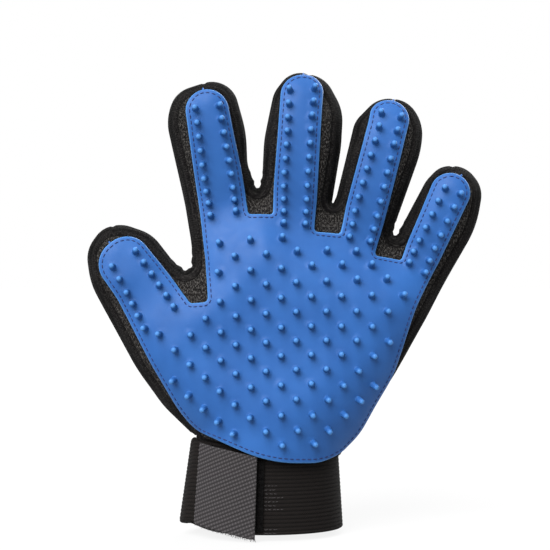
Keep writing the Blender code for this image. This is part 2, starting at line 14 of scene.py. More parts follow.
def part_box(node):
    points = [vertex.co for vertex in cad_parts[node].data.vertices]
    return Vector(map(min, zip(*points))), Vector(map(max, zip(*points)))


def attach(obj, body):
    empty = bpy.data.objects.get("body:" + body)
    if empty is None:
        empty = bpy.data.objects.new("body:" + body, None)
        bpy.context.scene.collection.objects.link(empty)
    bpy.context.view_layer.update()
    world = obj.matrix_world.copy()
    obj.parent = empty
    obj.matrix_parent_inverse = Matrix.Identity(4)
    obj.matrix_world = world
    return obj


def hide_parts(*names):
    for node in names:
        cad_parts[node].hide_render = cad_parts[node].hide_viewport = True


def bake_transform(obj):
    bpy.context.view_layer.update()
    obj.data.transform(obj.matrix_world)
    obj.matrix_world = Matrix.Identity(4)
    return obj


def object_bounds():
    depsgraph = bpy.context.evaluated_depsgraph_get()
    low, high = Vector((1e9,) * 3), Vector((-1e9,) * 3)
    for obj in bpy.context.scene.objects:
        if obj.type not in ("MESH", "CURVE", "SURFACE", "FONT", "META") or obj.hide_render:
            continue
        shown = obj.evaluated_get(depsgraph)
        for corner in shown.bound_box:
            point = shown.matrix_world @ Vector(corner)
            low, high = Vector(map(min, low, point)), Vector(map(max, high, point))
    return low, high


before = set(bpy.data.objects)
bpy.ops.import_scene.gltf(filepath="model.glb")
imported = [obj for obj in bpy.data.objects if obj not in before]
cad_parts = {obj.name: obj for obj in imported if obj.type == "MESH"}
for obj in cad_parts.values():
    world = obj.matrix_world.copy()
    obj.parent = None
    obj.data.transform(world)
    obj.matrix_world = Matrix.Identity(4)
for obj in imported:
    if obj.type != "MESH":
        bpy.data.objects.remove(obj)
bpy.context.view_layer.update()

MM = 0.001
UV_PER_MM = 0.01        # the cloth's own coordinates, so that a weave keeps its size


def node_box(name):
    """Lowest and highest corner of a CAD node in millimetres."""
    low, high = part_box(name)
    return np.array(low) / MM, np.array(high) / MM


# ---------------------------------------------------------------- sizes

# Wrist band: its rim comes from the frame, and it narrows towards the shell
BAND_LOW, BAND_HIGH = node_box("wrist_band")
RIM_A, RIM_B = (BAND_HIGH[0] - BAND_LOW[0]) / 2, (BAND_HIGH[1] - BAND_LOW[1]) / 2
NARROWING_A, NARROWING_B, FLARE_Z, BAND_SHIFT = 4.0, 1.8, 48.0, 1.0
WRIST_SEAM_Z, WRIST_SEAM_SLOPE, BAND_LAP = 41.0, -0.14, 7.0
BAND_COLUMNS, BAND_STEP = 200, 0.3
HEM_HEIGHT, HEM_ROUND_OUT, HEM_ROUND_IN = 1.3, 0.75, 0.6
RIB_PITCH, RIB_HEIGHT, RIB_SHADE_INSIDE = 1.9, 0.26, 0.5
RIM_RISE = (2.6, 200.0, 26.0)           # under the fold the rim is drawn up: height, angle and width
CLOTH = 1.5             # thickness of the shell, the band and the strap
TAPE = 1.2              # thickness of the hook tape and the loop tape
CREASE = 40.0           # a fold sharper than this many degrees is drawn as an edge
RIBBED_CREASE = 70.0

# The filled hand, as in the CAD
WRIST_DEPTH = 27.0
PALM_FRONT, PALM_BACK = 20.0, 17.0
FINGER_FRONT, FINGER_BACK = 12.5, 11.5
WRIST_ROUND, PALM_ROUND, FINGER_ROUND = 37.0, 27.0, 14.5
KNUCKLE_SLOPE = 0.365
THUMB_ROOT, THUMB_TIP = (-40.0, 98.0), (-76.0, 137.0)
WRIST_ZONE, KNUCKLE_ZONE, THUMB_ZONE = (52.0, 100.0), (132.0, 172.0), (-4.0, 34.0)
FINGER_BULGE = (1.4, 190.0, 16.0)
PALM_BELLY = (-3.0, 98.0, 30.0)
KNUCKLE_LEAN = (3.5, 153.0, 15.0)
TIP_LEAN, TIP_ZONE = 7.0, (205.0, 240.0)
THUMB_LEAN, THUMB_LEAN_ZONE = 4.0, (0.0, 40.0)
THUMB_LEAN_END, THUMB_LEAN_TILT = (120.0, 150.0), 0.4
BELOW_EDGE = (1.5, 80.0)

# Panels: the seam lies this far in from the edge, and they roll in there, with painted shade along it
SEAM_INSET, SEAM_GAP = 5.0, 0.06
SEAM_ROLL, SEAM_SHADE = (-0.75, 0.0, 0.55), (1.0, 0.0, 0.7)
SEAM_STEP, EDGE_ARC_STEP = 1.6, 10.0            # spacing of points, in millimetres and in degrees
SEAM_ROWS, SEAM_ROW_CLEAR = (0.45, 1.0), 0.5    # close rows of points along the seam carry the roll
# Their nets are finer over a rim along the seam than further in
PANEL_RIM, PANEL_PITCH, PALM_DEEP_PITCH, BACK_DEEP_PITCH = 13.0, 1.7, 5.0, 2.2
PANEL_WAVE, PANEL_WAVE_START = 0.22, 4.0
# Pleats above the wrist seam
GATHER_HEIGHT, GATHER_PITCH, GATHER_WANDER, GATHER_START, GATHER_REACH = 0.55, 6.4, 1.6, 3.0, 9.0

# Side strips: rows of points on each half, soft folds at these shares of the width, rolled edges
STRIP_ROWS = 9
STRIP_FOLDS = (0.2, 0.37, 0.66, 0.83)
FOLD_DEPTH, FOLD_CHANGE, FOLD_DRIFT, FOLD_WIDTH = 0.34, 0.22, 0.035, 0.045
# Painted shade in the folds: its strength and its most
FOLD_SHADE, FOLD_SHADE_MOST = 2.2, 0.9
STRIP_SIDE_ROLL, STRIP_END_ROLL = (-0.6, 0.0, 0.03), (-0.5, 0.0, 0.8)
STRIP_WAVE_GAP, STRIP_CLOTH_GAP = 31.0, 50.0    # keep the strips' waves and cloth from repeating

# Outline of the shell's edge from the wrist's thumb side round to the other: x, z and corner radius
GLOVE_EDGE = [
    (-36.2, 46.1, 0), (-50.5, 60.0, 50), (-64.0, 79.0, 100), (-86.6, 121.0, 40), (-89.4, 138.0, 16),
    (-81.5, 148.8, 12), (-71.5, 151.2, 16), (-56.5, 146.0, 20), (-45.5, 132.0, 25), (-37.0, 125.8, 2.5),
    (-36.2, 138.0, 60), (-40.0, 160.0, 90), (-49.5, 203.0, 24), (-44.6, 216.8, 14), (-17.5, 225.8, 13),
    (-9.4, 197.0, 60), (-8.8, 181.0, 16), (-3.5, 166.5, 0.9), (-1.3, 175.5, 14), (-0.5, 193.0, 60),
    (4.4, 217.0, 16), (13.0, 228.6, 14), (30.5, 225.0, 14), (39.2, 208.0, 24), (38.0, 189.0, 60),
    (33.0, 158.6, 0.8), (35.8, 165.0, 10), (45.0, 202.5, 14), (57.0, 215.0, 14), (72.0, 213.9, 14),
    (79.7, 202.0, 20), (78.3, 188.0, 60), (64.2, 148.5, 6), (64.6, 142.8, 1.0), (80.5, 172.6, 14),
    (87.5, 180.0, 11), (100.3, 180.2, 13), (109.0, 169.0, 14), (105.8, 149.8, 60), (63.5, 74.0, 90),
    (54.6, 61.1, 60), (47.0, 47.1, 40), (39.0, 39.2, 8), (38.1, 35.7, 0)]
# The corners between which each finger has its tip, from thumb to little finger
TIP_CORNERS = [(5, 6), (13, 14), (21, 22), (28, 29), (35, 36)]
# The corners at the bottom of each gap, and the little pleats there: height, reach and pitch
WEB_CORNERS = [9, 17, 25, 33]
WEB_PLEATS = (0.45, 8.0, 4.6)
WEB_NEAR = 3.0          # a strip that comes this near to such a corner has the pleats

# Outline of the rubber pad
PAD_EDGE = [
    (-32.6, 49.8, 40), (-41.0, 59.8, 60), (-54.0, 81.7, 90), (-72.4, 115.3, 60), (-84.6, 132.4, 12.0),
    (-66.8, 148.8, 12.0), (-35.8, 111.2, 2.4), (-27.2, 112.0, 2.4), (-28.3, 132.8, 60), (-39.6, 213.9, 10.0),
    (-20.6, 217.6, 10.0), (-7.9, 154.9, 1.8), (4.0, 154.9, 1.8), (9.2, 223.4, 10.4), (28.8, 224.6, 10.4),
    (24.2, 146.5, 1.8), (37.0, 145.5, 1.8), (55.0, 213.6, 10.2), (72.8, 208.6, 10.2), (53.6, 134.6, 1.8),
    (66.9, 132.2, 1.8), (86.8, 177.8, 10.0), (103.2, 170.1, 10.0), (85.6, 132.8, 90), (72.4, 108.6, 60),
    (61.9, 76.4, 60), (53.6, 62.0, 60), (45.9, 48.0, 40), (36.6, 38.4, 16), (27.0, 34.3, 40),
    (2.0, 35.6, 90)]
# Section of the pad's rim: distance in from the outline and height over the cloth
PAD_SECTION = [
    (0.35, 0.10), (0.10, 0.40), (0.0, 0.85), (0.03, 1.30), (0.16, 1.68), (0.38, 1.98), (0.68, 2.17),
    (1.05, 2.25), (1.6, 2.25)]
PAD_RIM_HIGHLIGHT = [0.0, 0.3, 0.8, 1.0, 0.9, 0.6, 0.2, 0.0, 0.0]   # painted highlight along the rounded rim
PAD_FLAT_INSET, PAD_TOP = PAD_SECTION[-1]
PAD_STEP, PAD_ARC_STEP = 1.3, 9.0       # spacing of the rim's points, in millimetres and in degrees
PAD_NET, PAD_RIM_CLEAR, PAD_NUB_CLEAR = 2.3, 0.8, 0.7
PAD_UNDER_NET, PAD_UNDER_CLEAR = 4.0, 1.6
PAD_UNEVENNESS, PAD_EVEN_RIM = 0.1, 6.0     # soft rubber follows the cloth under it, but not at its rim

STITCH_INSET, STITCH_FLOOR = 2.0, 2.14
STITCH_PITCH, STITCH_LENGTH, THREAD = 2.7, 1.85, 0.25
# Side view of a stitch: share of its length and height over its floor
STITCH_SHAPE = [
    (-0.5, -0.30), (-0.42, -0.02), (-0.2, 0.16), (0.0, 0.2), (0.2, 0.16), (0.42, -0.02), (0.5, -0.30)]

# Nubs: radius at the foot, sides, and the reach over which one follows the palm's slope
NUB_BASE, NUB_SIDES, NUB_SLOPE_REACH = 1.9, 20, 1.5
# Section of a nub: radius and height
NUB_SECTION = [(1.76, 0.10), (1.66, 0.32), (1.60, 0.75), (1.54, 1.5), (1.48, 2.5), (1.40, 3.3), (1.26, 3.85),
               (1.02, 4.22), (0.68, 4.45), (0.31, 4.55)]
# Painted highlight over a nub's section, growing towards the tip
NUB_TIP_HIGHLIGHT = [0.0, 0.0, 0.0, 0.0, 0.0, 0.1, 0.25, 0.42, 0.52, 0.52]
NUB_HEIGHT = 4.58
NUB_PITCH_X, NUB_PITCH_Z = 14.5, 7.0
NUB_ORIGIN = (22.4, 114.9)
NUB_DROOP, NUB_DROOP_SPAN, NUB_DROOP_POWER = 4.4, 58.0, 1.4
NUB_ROWS, NUB_COLUMNS = range(-5, 13), range(-7, 6)
NUB_EDGE, NUB_FREE, NUB_PALM_TOP = 6.2, 7.0, 147.0
STRIP_NUBS = [
    (((-74.0, 129.0), (-57.0, 99.5)), 6), (((-63.5, 136.0), (-43.5, 109.0)), 6),
    (((-33.8, 206.5), (-26.3, 154.0)), 9), (((-23.3, 208.0), (-13.8, 156.0)), 9),
    (((13.1, 214.9), (8.8, 150.0)), 11), (((23.5, 216.0), (19.6, 150.0)), 11),
    (((58.0, 203.5), (41.3, 144.0)), 10), (((66.0, 202.0), (51.0, 142.0)), 10),
    (((88.9, 167.1), (70.6, 130.5)), 7), (((95.0, 165.0), (77.2, 126.5)), 7)]
# Moulding nibs: roughly where each strip's rim has one
NIBS = [(-77.2, 143.0), (-30.5, 219.5), (19.5, 226.5), (64.5, 213.0), (98.2, 176.0)]
NIB_INSETS, NIB_HEIGHT, NIB_REACH = (0.9, 0.3), 1.5, 1.8
NIB_RADII = (0.6, 0.6, 0.55, 0.35)

# Strap, in degrees round the band: 180 is the thumb side, 270 the palm side
FOLD_ANGLE = 181.0
ANCHOR_END, TAB_END = 128.0, 222.0
ANCHOR_LOW, ANCHOR_HIGH, ANCHOR_TURN = 4.6, 43.4, 14.0
HOOK_START_LOW, HOOK_START_HIGH, HOOK_END = 213.6, 211.6, 263.6
TAB_LOW_FOLD, TAB_LOW_END = 5.6, -1.8
TAB_HIGH_FOLD, TAB_HIGH_END = 44.4, 38.2
LOOP_START, LOOP_END, LOOP_LOW, LOOP_HIGH = 226.0, 268.5, 2.0, 36.0
STRAP_OFFSET, HOOK_OFFSET = 0.3, 2.1
# Height and offset at which lengths along the cloth are taken
STRAP_LINE, HOOK_LINE, LOOP_LINE = (20.0, 1.8), (18.0, 3.3), (18.0, 1.0)
STRAP_WIDTH, STRAP_NET = 39.0, (150, 140)
STRAP_EDGE, STRAP_ROUND = 0.7, 0.5      # the strap is thinner by this much in a strip along its edges
ROLL_ANGLE, ROLL_WIDTH = 196.0, 12.0
ROLL_DROP = (3.2, 190.0, 10.5)          # how far its lower end hangs: depth, angle and width
ROLL_TOP, ROLL_BOTTOM = 1.1, 3.0        # how far the folded roll stands out, high and low
ROLL_CORNER, ROLL_INSIDE = 2.2, 0.75

# Grey tape: ridges of its twill and lumps along them, lifted ends, thin borders and a ragged lower edge
HOOK_WIDTH, HOOK_NET = 40.5, (140, 160)
TWILL_ROW, TWILL_SLOPE, TWILL_LUMP, TWILL_DEPTH, TWILL_SHADE_INSIDE = 1.9, 0.42, 1.6, 0.4, 0.3
TAPE_BED, TAPE_SINK = 0.25, 0.3         # its inner face, and the foot of its ridges under the full thickness
TAPE_END_LIFT, TAPE_START_LIFT = 0.45, 0.25
TAPE_END_ZONE, TAPE_START_ZONE = (0.86, 1.0), (0.12, 0.0)
TAPE_HEIGHT, TAPE_BORDER, TAPE_THIN = 40.0, 0.5, 0.35
RAGGED, RAW_COUNT, RAW_THREAD = 0.28, 75, 0.1
# Its hooks, and the side view of one: share of its lean and depth under its foot
HOOKS, HOOK_FIRST, HOOK_MARGIN = (27, 29), 5, 0.04
HOOK_BED, HOOK_THICK, HOOK_LEAN = 0.28, 0.09, 0.45
HOOK_SHAPE = [(0.0, 0.0), (0.0, 0.3), (0.3, 0.48), (1.0, 0.46), (1.2, 0.32)]

# Loop tape, the stitches of the strap's sewn end, and pale threads that stand for painted highlights on the
# band's ribs
LOOP_BED, LOOP_GROUND, LOOP_FUZZ, LOOP_NET = 0.1, 0.95, 0.12, (60, 70)
PILE_COUNT, PILE_FOOT, PILE_THREAD = 1500, 0.9, 0.055
STRAP_STITCH_ROWS, STRAP_STITCH_PITCH, STRAP_THREAD = (2.2, 6.2), 2.6, 0.2
# Pale threads that paint highlights on these ribs of the band: where they start and end, and their thickness
HIGHLIGHT_RIBS = (0, 1, 6, 7, 8, 9, 10, 11, 12)
RIB_HIGHLIGHT_START, RIB_HIGHLIGHT_END, RIB_HIGHLIGHT_THREAD = 268.9, (275.0, 282.0), 0.13

# Camera
VIEW_DISTANCE, VIEW_WIDTH, SENSOR = 700.0, 275.0, 36.0
VIEW_CENTRE = (5.0, 125.5)

# Stage: brightness behind the camera and of the floor, and the direction and strength of the lights
FRONT_LEVEL = 0.35
FLOOR_REACH, FLOOR_GAP, FLOOR_SHADE, FLOOR_GLOW = 12.0, 0.0003, 0.06, 0.86
LIGHTS = [("key", (-0.5, -0.8, 1.0), 8.0), ("back", (0.7, 1.0, 0.9), 4.0)]
LIGHT_WIDTH, LIGHT_AIM = 50.0, (0.0, 0.0, 0.12)

# Knit: width and height of a stitch, and how much lighter worn cloth is
KNIT_WALE, KNIT_COURSE, WORN_GAIN = 1.15, 0.95, 1.84
MESH_PITCH = 2.6        # cells of the air mesh
BRAID_WAVE = 7.4        # radians to the millimetre along the braided yarn of the elastic


# ---------------------------------------------------------------- outlines

def unit(vectors):
    """The vectors scaled to a length of 1."""
    return vectors / np.linalg.norm(vectors, axis=-1, keepdims=True)


def rounded(corners, closed, step, arc_step):
    """Points along a polygon with rounded corners, step apart, with an arc point per arc_step degrees."""
    count = len(corners)
    arcs = []
    for i, (x, z, radius) in enumerate(corners):
        here = np.array((x, z))
        if not closed and i in (0, count - 1):
            arcs.append([here])
            continue
        before = np.array(corners[i - 1][:2]) - here
        after = np.array(corners[(i + 1) % count][:2]) - here
        to_before, to_after = unit(before), unit(after)
        half = 0.5 * math.acos(np.clip(to_before @ to_after, -1.0, 1.0))
        longest = 0.499 * min(np.linalg.norm(before), np.linalg.norm(after))
        reach = min(radius / math.tan(half), longest)
        radius = reach * math.tan(half)
        centre = here + unit(to_before + to_after) * radius / math.sin(half)
        start = here + to_before * reach - centre
        sweep = math.pi - 2.0 * half
        turn = np.sign(to_after[0] * to_before[1] - to_after[1] * to_before[0])
        pieces = max(1, math.ceil(max(math.degrees(sweep) / arc_step, sweep * radius / step)))
        arc = []
        for k in range(pieces + 1):
            angle = turn * sweep * k / pieces
            c, s = math.cos(angle), math.sin(angle)
            arc.append(centre + (c * start[0] - s * start[1], s * start[0] + c * start[1]))
        arcs.append(arc)
    path = []
    for i, arc in enumerate(arcs):
        path.extend(arc)
        if closed or i + 1 < count:
            span = arcs[(i + 1) % count][0] - arc[-1]
            pieces = max(1, round(np.linalg.norm(span) / step))
            path.extend(arc[-1] + span * k / pieces for k in range(1, pieces))
    kept = [path[0]]
    for point in path[1:]:
        if np.linalg.norm(point - kept[-1]) > 0.15:
            kept.append(point)
    return np.array(kept)


def inward(path, closed):
    """Unit vectors to the right of a clockwise path."""
    if closed:
        step_in, step_out = path - np.roll(path, 1, axis=0), np.roll(path, -1, axis=0) - path
    else:
        steps = np.diff(path, axis=0)
        step_in, step_out = np.vstack((steps[:1], steps)), np.vstack((steps, steps[-1:]))
    tangent = unit(unit(step_in) + unit(step_out))
    return np.stack((tangent[:, 1], -tangent[:, 0]), axis=1)


def batches(points):
    """The points in lots that need little memory."""
    return (points[first:first + 1000] for first in range(0, len(points), 1000))


def distance_to(path, points):
    """Distance of each point from an open polyline."""
    start, end = path[:-1], path[1:]
    along = end - start
    length2 = (along ** 2).sum(axis=1)
    found = []
    for batch in batches(points):
        offset = batch[:, None] - start[None]
        t = np.clip((offset * along).sum(axis=2) / length2, 0.0, 1.0)
        found.append(np.sqrt(((offset - t[..., None] * along) ** 2).sum(axis=2).min(axis=1)))
    return np.concatenate(found)


def path_length(path):
    """Length along a path from its first point to each of its points."""
    return np.concatenate(([0.0], np.cumsum(np.linalg.norm(np.diff(path, axis=0), axis=1))))


def ring_distance(path, points):
    """Distance of each point from a closed polyline."""
    return distance_to(np.vstack((path, path[:1])), points)


def inside(path, points):
    """Which points lie inside a closed polyline."""
    x0, z0 = path[:, 0], path[:, 1]
    x1, z1 = np.roll(x0, -1), np.roll(z0, -1)
    found = []
    for batch in batches(points):
        px, pz = batch[:, :1], batch[:, 1:]
        crosses = (z0 > pz) != (z1 > pz)
        with np.errstate(divide="ignore", invalid="ignore"):
            at = (x1 - x0) * (pz - z0) / (z1 - z0) + x0
        found.append((crosses & (px < at)).sum(axis=1) % 2 == 1)
    return np.concatenate(found)


# ---------------------------------------------------------------- the glove's surface

EDGE = rounded(GLOVE_EDGE, False, SEAM_STEP, EDGE_ARC_STEP)
EDGE_IN = inward(EDGE, False)
SEAM_DIRECTION = np.array((1.0, WRIST_SEAM_SLOPE)) / math.hypot(1.0, WRIST_SEAM_SLOPE)
EDGE_IN[0], EDGE_IN[-1] = SEAM_DIRECTION, -SEAM_DIRECTION
EDGE_EXTENDED = np.vstack((EDGE[:1] - BELOW_EDGE, EDGE, EDGE[-1:] + (BELOW_EDGE[0], -BELOW_EDGE[1])))
THUMB_AXIS = np.subtract(THUMB_TIP, THUMB_ROOT) / math.dist(THUMB_TIP, THUMB_ROOT)


def smooth(zone, value):
    """Smooth step from 0 to 1 over a zone."""
    t = np.clip((value - zone[0]) / (zone[1] - zone[0]), 0.0, 1.0)
    return t * t * (3.0 - 2.0 * t)


def bell(shape, value):
    """Bell curve of a height, place and width."""
    height, place, width = shape
    return height * np.exp(-((value - place) / width) ** 2)


def quarter_round(distance, radius):
    """Height from 0 to 1 of a rounded edge at a distance from it."""
    share = np.clip(distance / radius, 0.0, 1.0)
    return np.sqrt(1.0 - (1.0 - share) ** 2)


def mixed(start, end, share):
    """The value a share of the way from start to end."""
    return start + (end - start) * share


def hand_form(x, z):
    """Mid depth, front and back half thickness and edge rounding of the filled glove."""
    knuckle = z + KNUCKLE_SLOPE * x
    thumb = (x - THUMB_ROOT[0]) * THUMB_AXIS[0] + (z - THUMB_ROOT[1]) * THUMB_AXIS[1]
    palm = 1.0 - np.maximum(smooth(KNUCKLE_ZONE, knuckle), smooth(THUMB_ZONE, thumb))
    wrist = 1.0 - smooth(WRIST_ZONE, z)
    front = mixed(FINGER_FRONT, PALM_FRONT, palm) + bell(FINGER_BULGE, knuckle)
    front = mixed(front, WRIST_DEPTH, wrist)
    back = mixed(mixed(FINGER_BACK, PALM_BACK, palm), WRIST_DEPTH, wrist)
    edge = mixed(mixed(FINGER_ROUND, PALM_ROUND, palm), WRIST_ROUND, wrist)
    middle = bell(PALM_BELLY, z) * palm + bell(KNUCKLE_LEAN, knuckle) + TIP_LEAN * smooth(TIP_ZONE, knuckle)
    thumb_side = 1.0 - smooth(THUMB_LEAN_END, knuckle - THUMB_LEAN_TILT * x)
    return middle - THUMB_LEAN * smooth(THUMB_LEAN_ZONE, thumb) * thumb_side, front, back, edge


def surface(points, side):
    """The shell's outer face over points of the x, z plane; side is -1 for the palm, 1 for the back."""
    points = np.asarray(points, float)
    middle, front, back, edge = hand_form(points[:, 0], points[:, 1])
    level = 1.0 - np.clip(distance_to(EDGE_EXTENDED, points) / edge, 0.0, 1.0)
    y = middle + side * (front if side < 0 else back) * np.sqrt(1.0 - level ** 2)
    return np.stack((points[:, 0], y, points[:, 1]), axis=1)


def surface_normal(points, side, reach=0.6):
    """Unit outward normals of the shell's outer face."""
    points = np.asarray(points, float)
    across, up = (reach, 0.0), (0.0, reach)
    dx = surface(points + across, side)[:, 1] - surface(points - across, side)[:, 1]
    dz = surface(points + up, side)[:, 1] - surface(points - up, side)[:, 1]
    return unit(np.stack((-dx, np.full(len(points), 2 * reach), -dz), axis=1) * side)


def waves(points, seed, count, shortest, longest):
    """Smooth random heights of about -1 to 1 over the plane, the same in every run."""
    rng = np.random.default_rng(seed)
    angle = rng.uniform(0.0, math.tau, count)
    length = rng.uniform(shortest, longest, count)
    phase = rng.uniform(0.0, math.tau, count)
    direction = np.stack((np.cos(angle), np.sin(angle))) * math.tau / length
    return np.sin(np.asarray(points) @ direction + phase).sum(axis=1) / math.sqrt(1.4 * count)


# ---------------------------------------------------------------- meshes

def add_piece(name, vertices, faces, material, uv=None, relief=None, crease=CREASE):
    """A named mesh object from millimetre points, with cloth coordinates and relief where given; the
    materials paint the relief as shade and highlight.
    """
    mesh = bpy.data.meshes.new(name)
    mesh.from_pydata((np.asarray(vertices, float) * MM).tolist(), [], [list(map(int, f)) for f in faces])
    mesh.materials.append(material)
    mesh.shade_smooth()
    if crease:
        mesh.set_sharp_from_angle(angle=math.radians(crease))
    if uv is not None:
        corner = np.zeros(len(mesh.loops), np.int32)
        mesh.loops.foreach_get("vertex_index", corner)
        layer = mesh.uv_layers.new(name="cloth")
        layer.data.foreach_set("uv", (np.asarray(uv, float)[corner] * UV_PER_MM).astype(np.float32).ravel())
    if relief is not None:
        attribute = mesh.attributes.new("relief", "FLOAT", "POINT")
        attribute.data.foreach_set("value", np.asarray(relief, np.float32))
    made = bpy.data.objects.new(name, mesh)
    bpy.context.scene.collection.objects.link(made)
    return made


def add_cloth(name, outer, inner, uv, material, relief=None, relief_inside=None, faces=None,
              crease=CREASE):
    """A closed piece of cloth: an outer and an inner face of one net, and walls round its open edges."""
    faces = faces or grid_faces(*outer.shape[:2])
    vertices, uv = np.vstack((outer.reshape(-1, 3), inner.reshape(-1, 3))), uv.reshape(-1, 2)
    count = len(uv)
    used = {(face[i], face[(i + 1) % len(face)]) for face in faces for i in range(len(face))}
    solid = [list(face) for face in faces]
    solid += [[v + count for v in reversed(face)] for face in faces]
    solid += [[b, a, a + count, b + count] for a, b in sorted(used) if (b, a) not in used]
    if relief is not None:
        inside_face = relief.ravel() if relief_inside is None else np.full(count, relief_inside)
        relief = np.concatenate((relief.ravel(), inside_face))
    return add_piece(name, vertices, solid, material, np.vstack((uv, uv)), relief, crease)


def grid_faces(rows, columns, closed=False):
    """Quads of a net stored row by row; a closed net joins its last column to its first."""
    faces = []
    for r in range(rows - 1):
        for c in range(columns if closed else columns - 1):
            after = (c + 1) % columns
            faces.append([r * columns + c, r * columns + after,
                          (r + 1) * columns + after, (r + 1) * columns + c])
    return faces


def net_of(across, up):
    """The pairs of two arrays that are spread over one net."""
    return np.stack(np.broadcast_arrays(across, up), axis=-1)


def grid_normals(net):
    """Unit normals of a net of rows and columns of points."""
    return unit(np.cross(np.gradient(net, axis=1), np.gradient(net, axis=0)))


def triangulate(loops, loose, holes=()):
    """Triangles of a region bounded by the first loop, with the loops named in holes left open."""
    points = [Vector(p) for loop in loops for p in loop] + [Vector(p) for p in loose]
    edges, owner, start = [], {}, 0
    for number, loop in enumerate(loops):
        count = len(loop)
        edges += [(start + i, start + (i + 1) % count) for i in range(count)]
        owner.update((start + i, number) for i in range(count))
        start += count
    # 1: triangles within the constraints only
    made, _, faces, origin, _, _ = delaunay_2d_cdt(points, edges, [], 1, 1e-5)
    index = {old: new for new, olds in enumerate(origin) for old in olds}
    loop_of = {new: owner.get(old) for old, new in index.items()}
    kept = []
    for face in faces:
        touched = {loop_of.get(v) for v in face}
        if len(touched) > 1 or touched.pop() not in holes:
            kept.append(list(face))
    return np.array([tuple(p) for p in made]), kept, index


def lattice(loop, area, pitch, clear):
    """Points inside a loop and clear of it, of a triangular lattice over the rectangle of an area."""
    low, high = area.min(axis=0), area.max(axis=0)
    row_pitch = pitch * math.sqrt(0.75)
    rows, columns = int((high[1] - low[1]) / row_pitch) + 1, int((high[0] - low[0]) / pitch) + 1
    column, row = np.meshgrid(np.arange(columns), np.arange(rows))
    points = net_of(low[0] + (column + 0.5 * (row % 2)) * pitch, low[1] + row * row_pitch).reshape(-1, 2)
    points = points[inside(loop, points)]
    return points[ring_distance(loop, points) > clear]


def add_tubes(name, paths, radius, sides, material):
    """One piece of round tubes with closed ends, each along its own points."""
    vertices, faces = [], []
    turn = np.arange(sides) * math.tau / sides
    for path in paths:
        path = np.asarray(path, float)
        tangent = unit(np.gradient(path, axis=0))
        side = unit(np.cross(tangent, (0.0, 0.0, 1.0) if abs(tangent[0, 2]) < 0.9 else (1.0, 0.0, 0.0)))
        up = np.cross(side, tangent)
        start, count = len(vertices), len(path)
        width = np.broadcast_to(radius, count)[:, None, None]
        spoke = np.cos(turn)[None, :, None] * side[:, None] + np.sin(turn)[None, :, None] * up[:, None]
        vertices.extend((path[:, None] + width * spoke).reshape(-1, 3).tolist())
        faces.extend([start + v for v in reversed(face)] for face in grid_faces(count, sides, True))
        faces.append([start + k for k in range(sides)])
        faces.append([start + (count - 1) * sides + k for k in range(sides)][::-1])
    return add_piece(name, vertices, faces, material)


# ---------------------------------------------------------------- materials

class Shader:
    """A Principled material and short calls for the nodes that feed it."""

    def __init__(self, name, roughness, specular, sheen=0.0):
        self.material = bpy.data.materials.new(name)
        self.material.use_nodes = True
        self.tree = self.material.node_tree
        self.principled = self.tree.nodes["Principled BSDF"]
        self.put("Roughness", roughness)
        self.put("Specular IOR Level", specular)
        self.put("Sheen Weight", sheen)
        self.put("Sheen Roughness", 0.45)
        self.uv = self.place("UV", 1.0 / UV_PER_MM)
        self.object = self.place("Object", 1.0 / MM)

    def feed(self, socket, value):
        """Links an input to a socket, or sets it to a number or a colour."""
        if isinstance(value, bpy.types.NodeSocket):
            self.tree.links.new(value, socket)
        elif socket.type == "RGBA" and len(value) == 3:
            socket.default_value = (*value, 1.0)
        else:
            socket.default_value = value

    def put(self, name, value):
        """Feeds one input of the Principled shader."""
        self.feed(self.principled.inputs[name], value)

    def node(self, kind, *values, operation=None, **named):
        """A new node whose inputs are fed in order or by name."""
        made = self.tree.nodes.new("ShaderNode" + kind)
        if operation:
            made.operation = operation
        for socket, value in zip(made.inputs, values):
            self.feed(socket, value)
        for name, value in named.items():
            self.feed(made.inputs[name], value)
        return made

    def place(self, output, scale):
        """Coordinates in millimetres."""
        source = self.node("TexCoord").outputs[output]
        return self.node("VectorMath", source, operation="SCALE", Scale=scale).outputs[0]

    def stretched(self, vector, *factors):
        """A vector with its parts scaled."""
        return self.node("VectorMath", vector, factors, operation="MULTIPLY").outputs[0]

    def maths(self, operation, *values):
        """One Math node on numbers or sockets."""
        return self.node("Math", *values, operation=operation).outputs[0]

    def parts(self, vector):
        """The x and y of a vector."""
        return self.node("SeparateXYZ", vector).outputs[:2]

    def noise(self, vector, per_mm, detail=3.0, roughness=0.6):
        """Noise of so many features to the millimetre."""
        made = self.node("TexNoise", Vector=vector, Scale=per_mm, Detail=detail, Roughness=roughness)
        return made.outputs[0]

    def relief(self):
        """The relief stored on the mesh's points, which the materials paint as shade and highlight."""
        made = self.node("Attribute")
        made.attribute_name = "relief"
        return made.outputs["Fac"]

    def ramp(self, value, *stops):
        """A colour or grey that follows a value through its stops."""
        made = self.node("ValToRGB", value)
        elements = made.color_ramp.elements
        while len(elements) < len(stops):
            elements.new(0.5)
        for element, (place, colour) in zip(elements, stops):
            element.position = place
            element.color = (*colour, 1.0) if isinstance(colour, tuple) else (colour, colour, colour, 1.0)
        return made.outputs[0]

    def mix(self, share, first, second):
        """Two colours mixed."""
        made = self.tree.nodes.new("ShaderNodeMix")
        made.data_type = "RGBA"
        for number, value in ((0, share), (6, first), (7, second)):
            self.feed(made.inputs[number], value)
        return made.outputs[2]

    def bump(self, height, distance):
        """Relief of a depth in millimetres."""
        made = self.node("Bump", Height=height, Distance=distance * MM, Strength=1.0)
        self.put("Normal", made.outputs[0])

    def knit(self, wale, course):
        """Height of V-shaped stitches, wale wide and course tall."""
        u, v = self.parts(self.uv)
        slant = self.maths("PINGPONG", u, wale / 2)
        rows = self.maths("SINE", self.maths("MULTIPLY", self.maths("ADD", v, slant), math.tau / course))
        columns = self.maths("COSINE", self.maths("MULTIPLY", u, math.tau / wale))
        return self.maths("MULTIPLY_ADD", rows, 0.3, self.maths("MULTIPLY_ADD", columns, -0.2, 0.5))


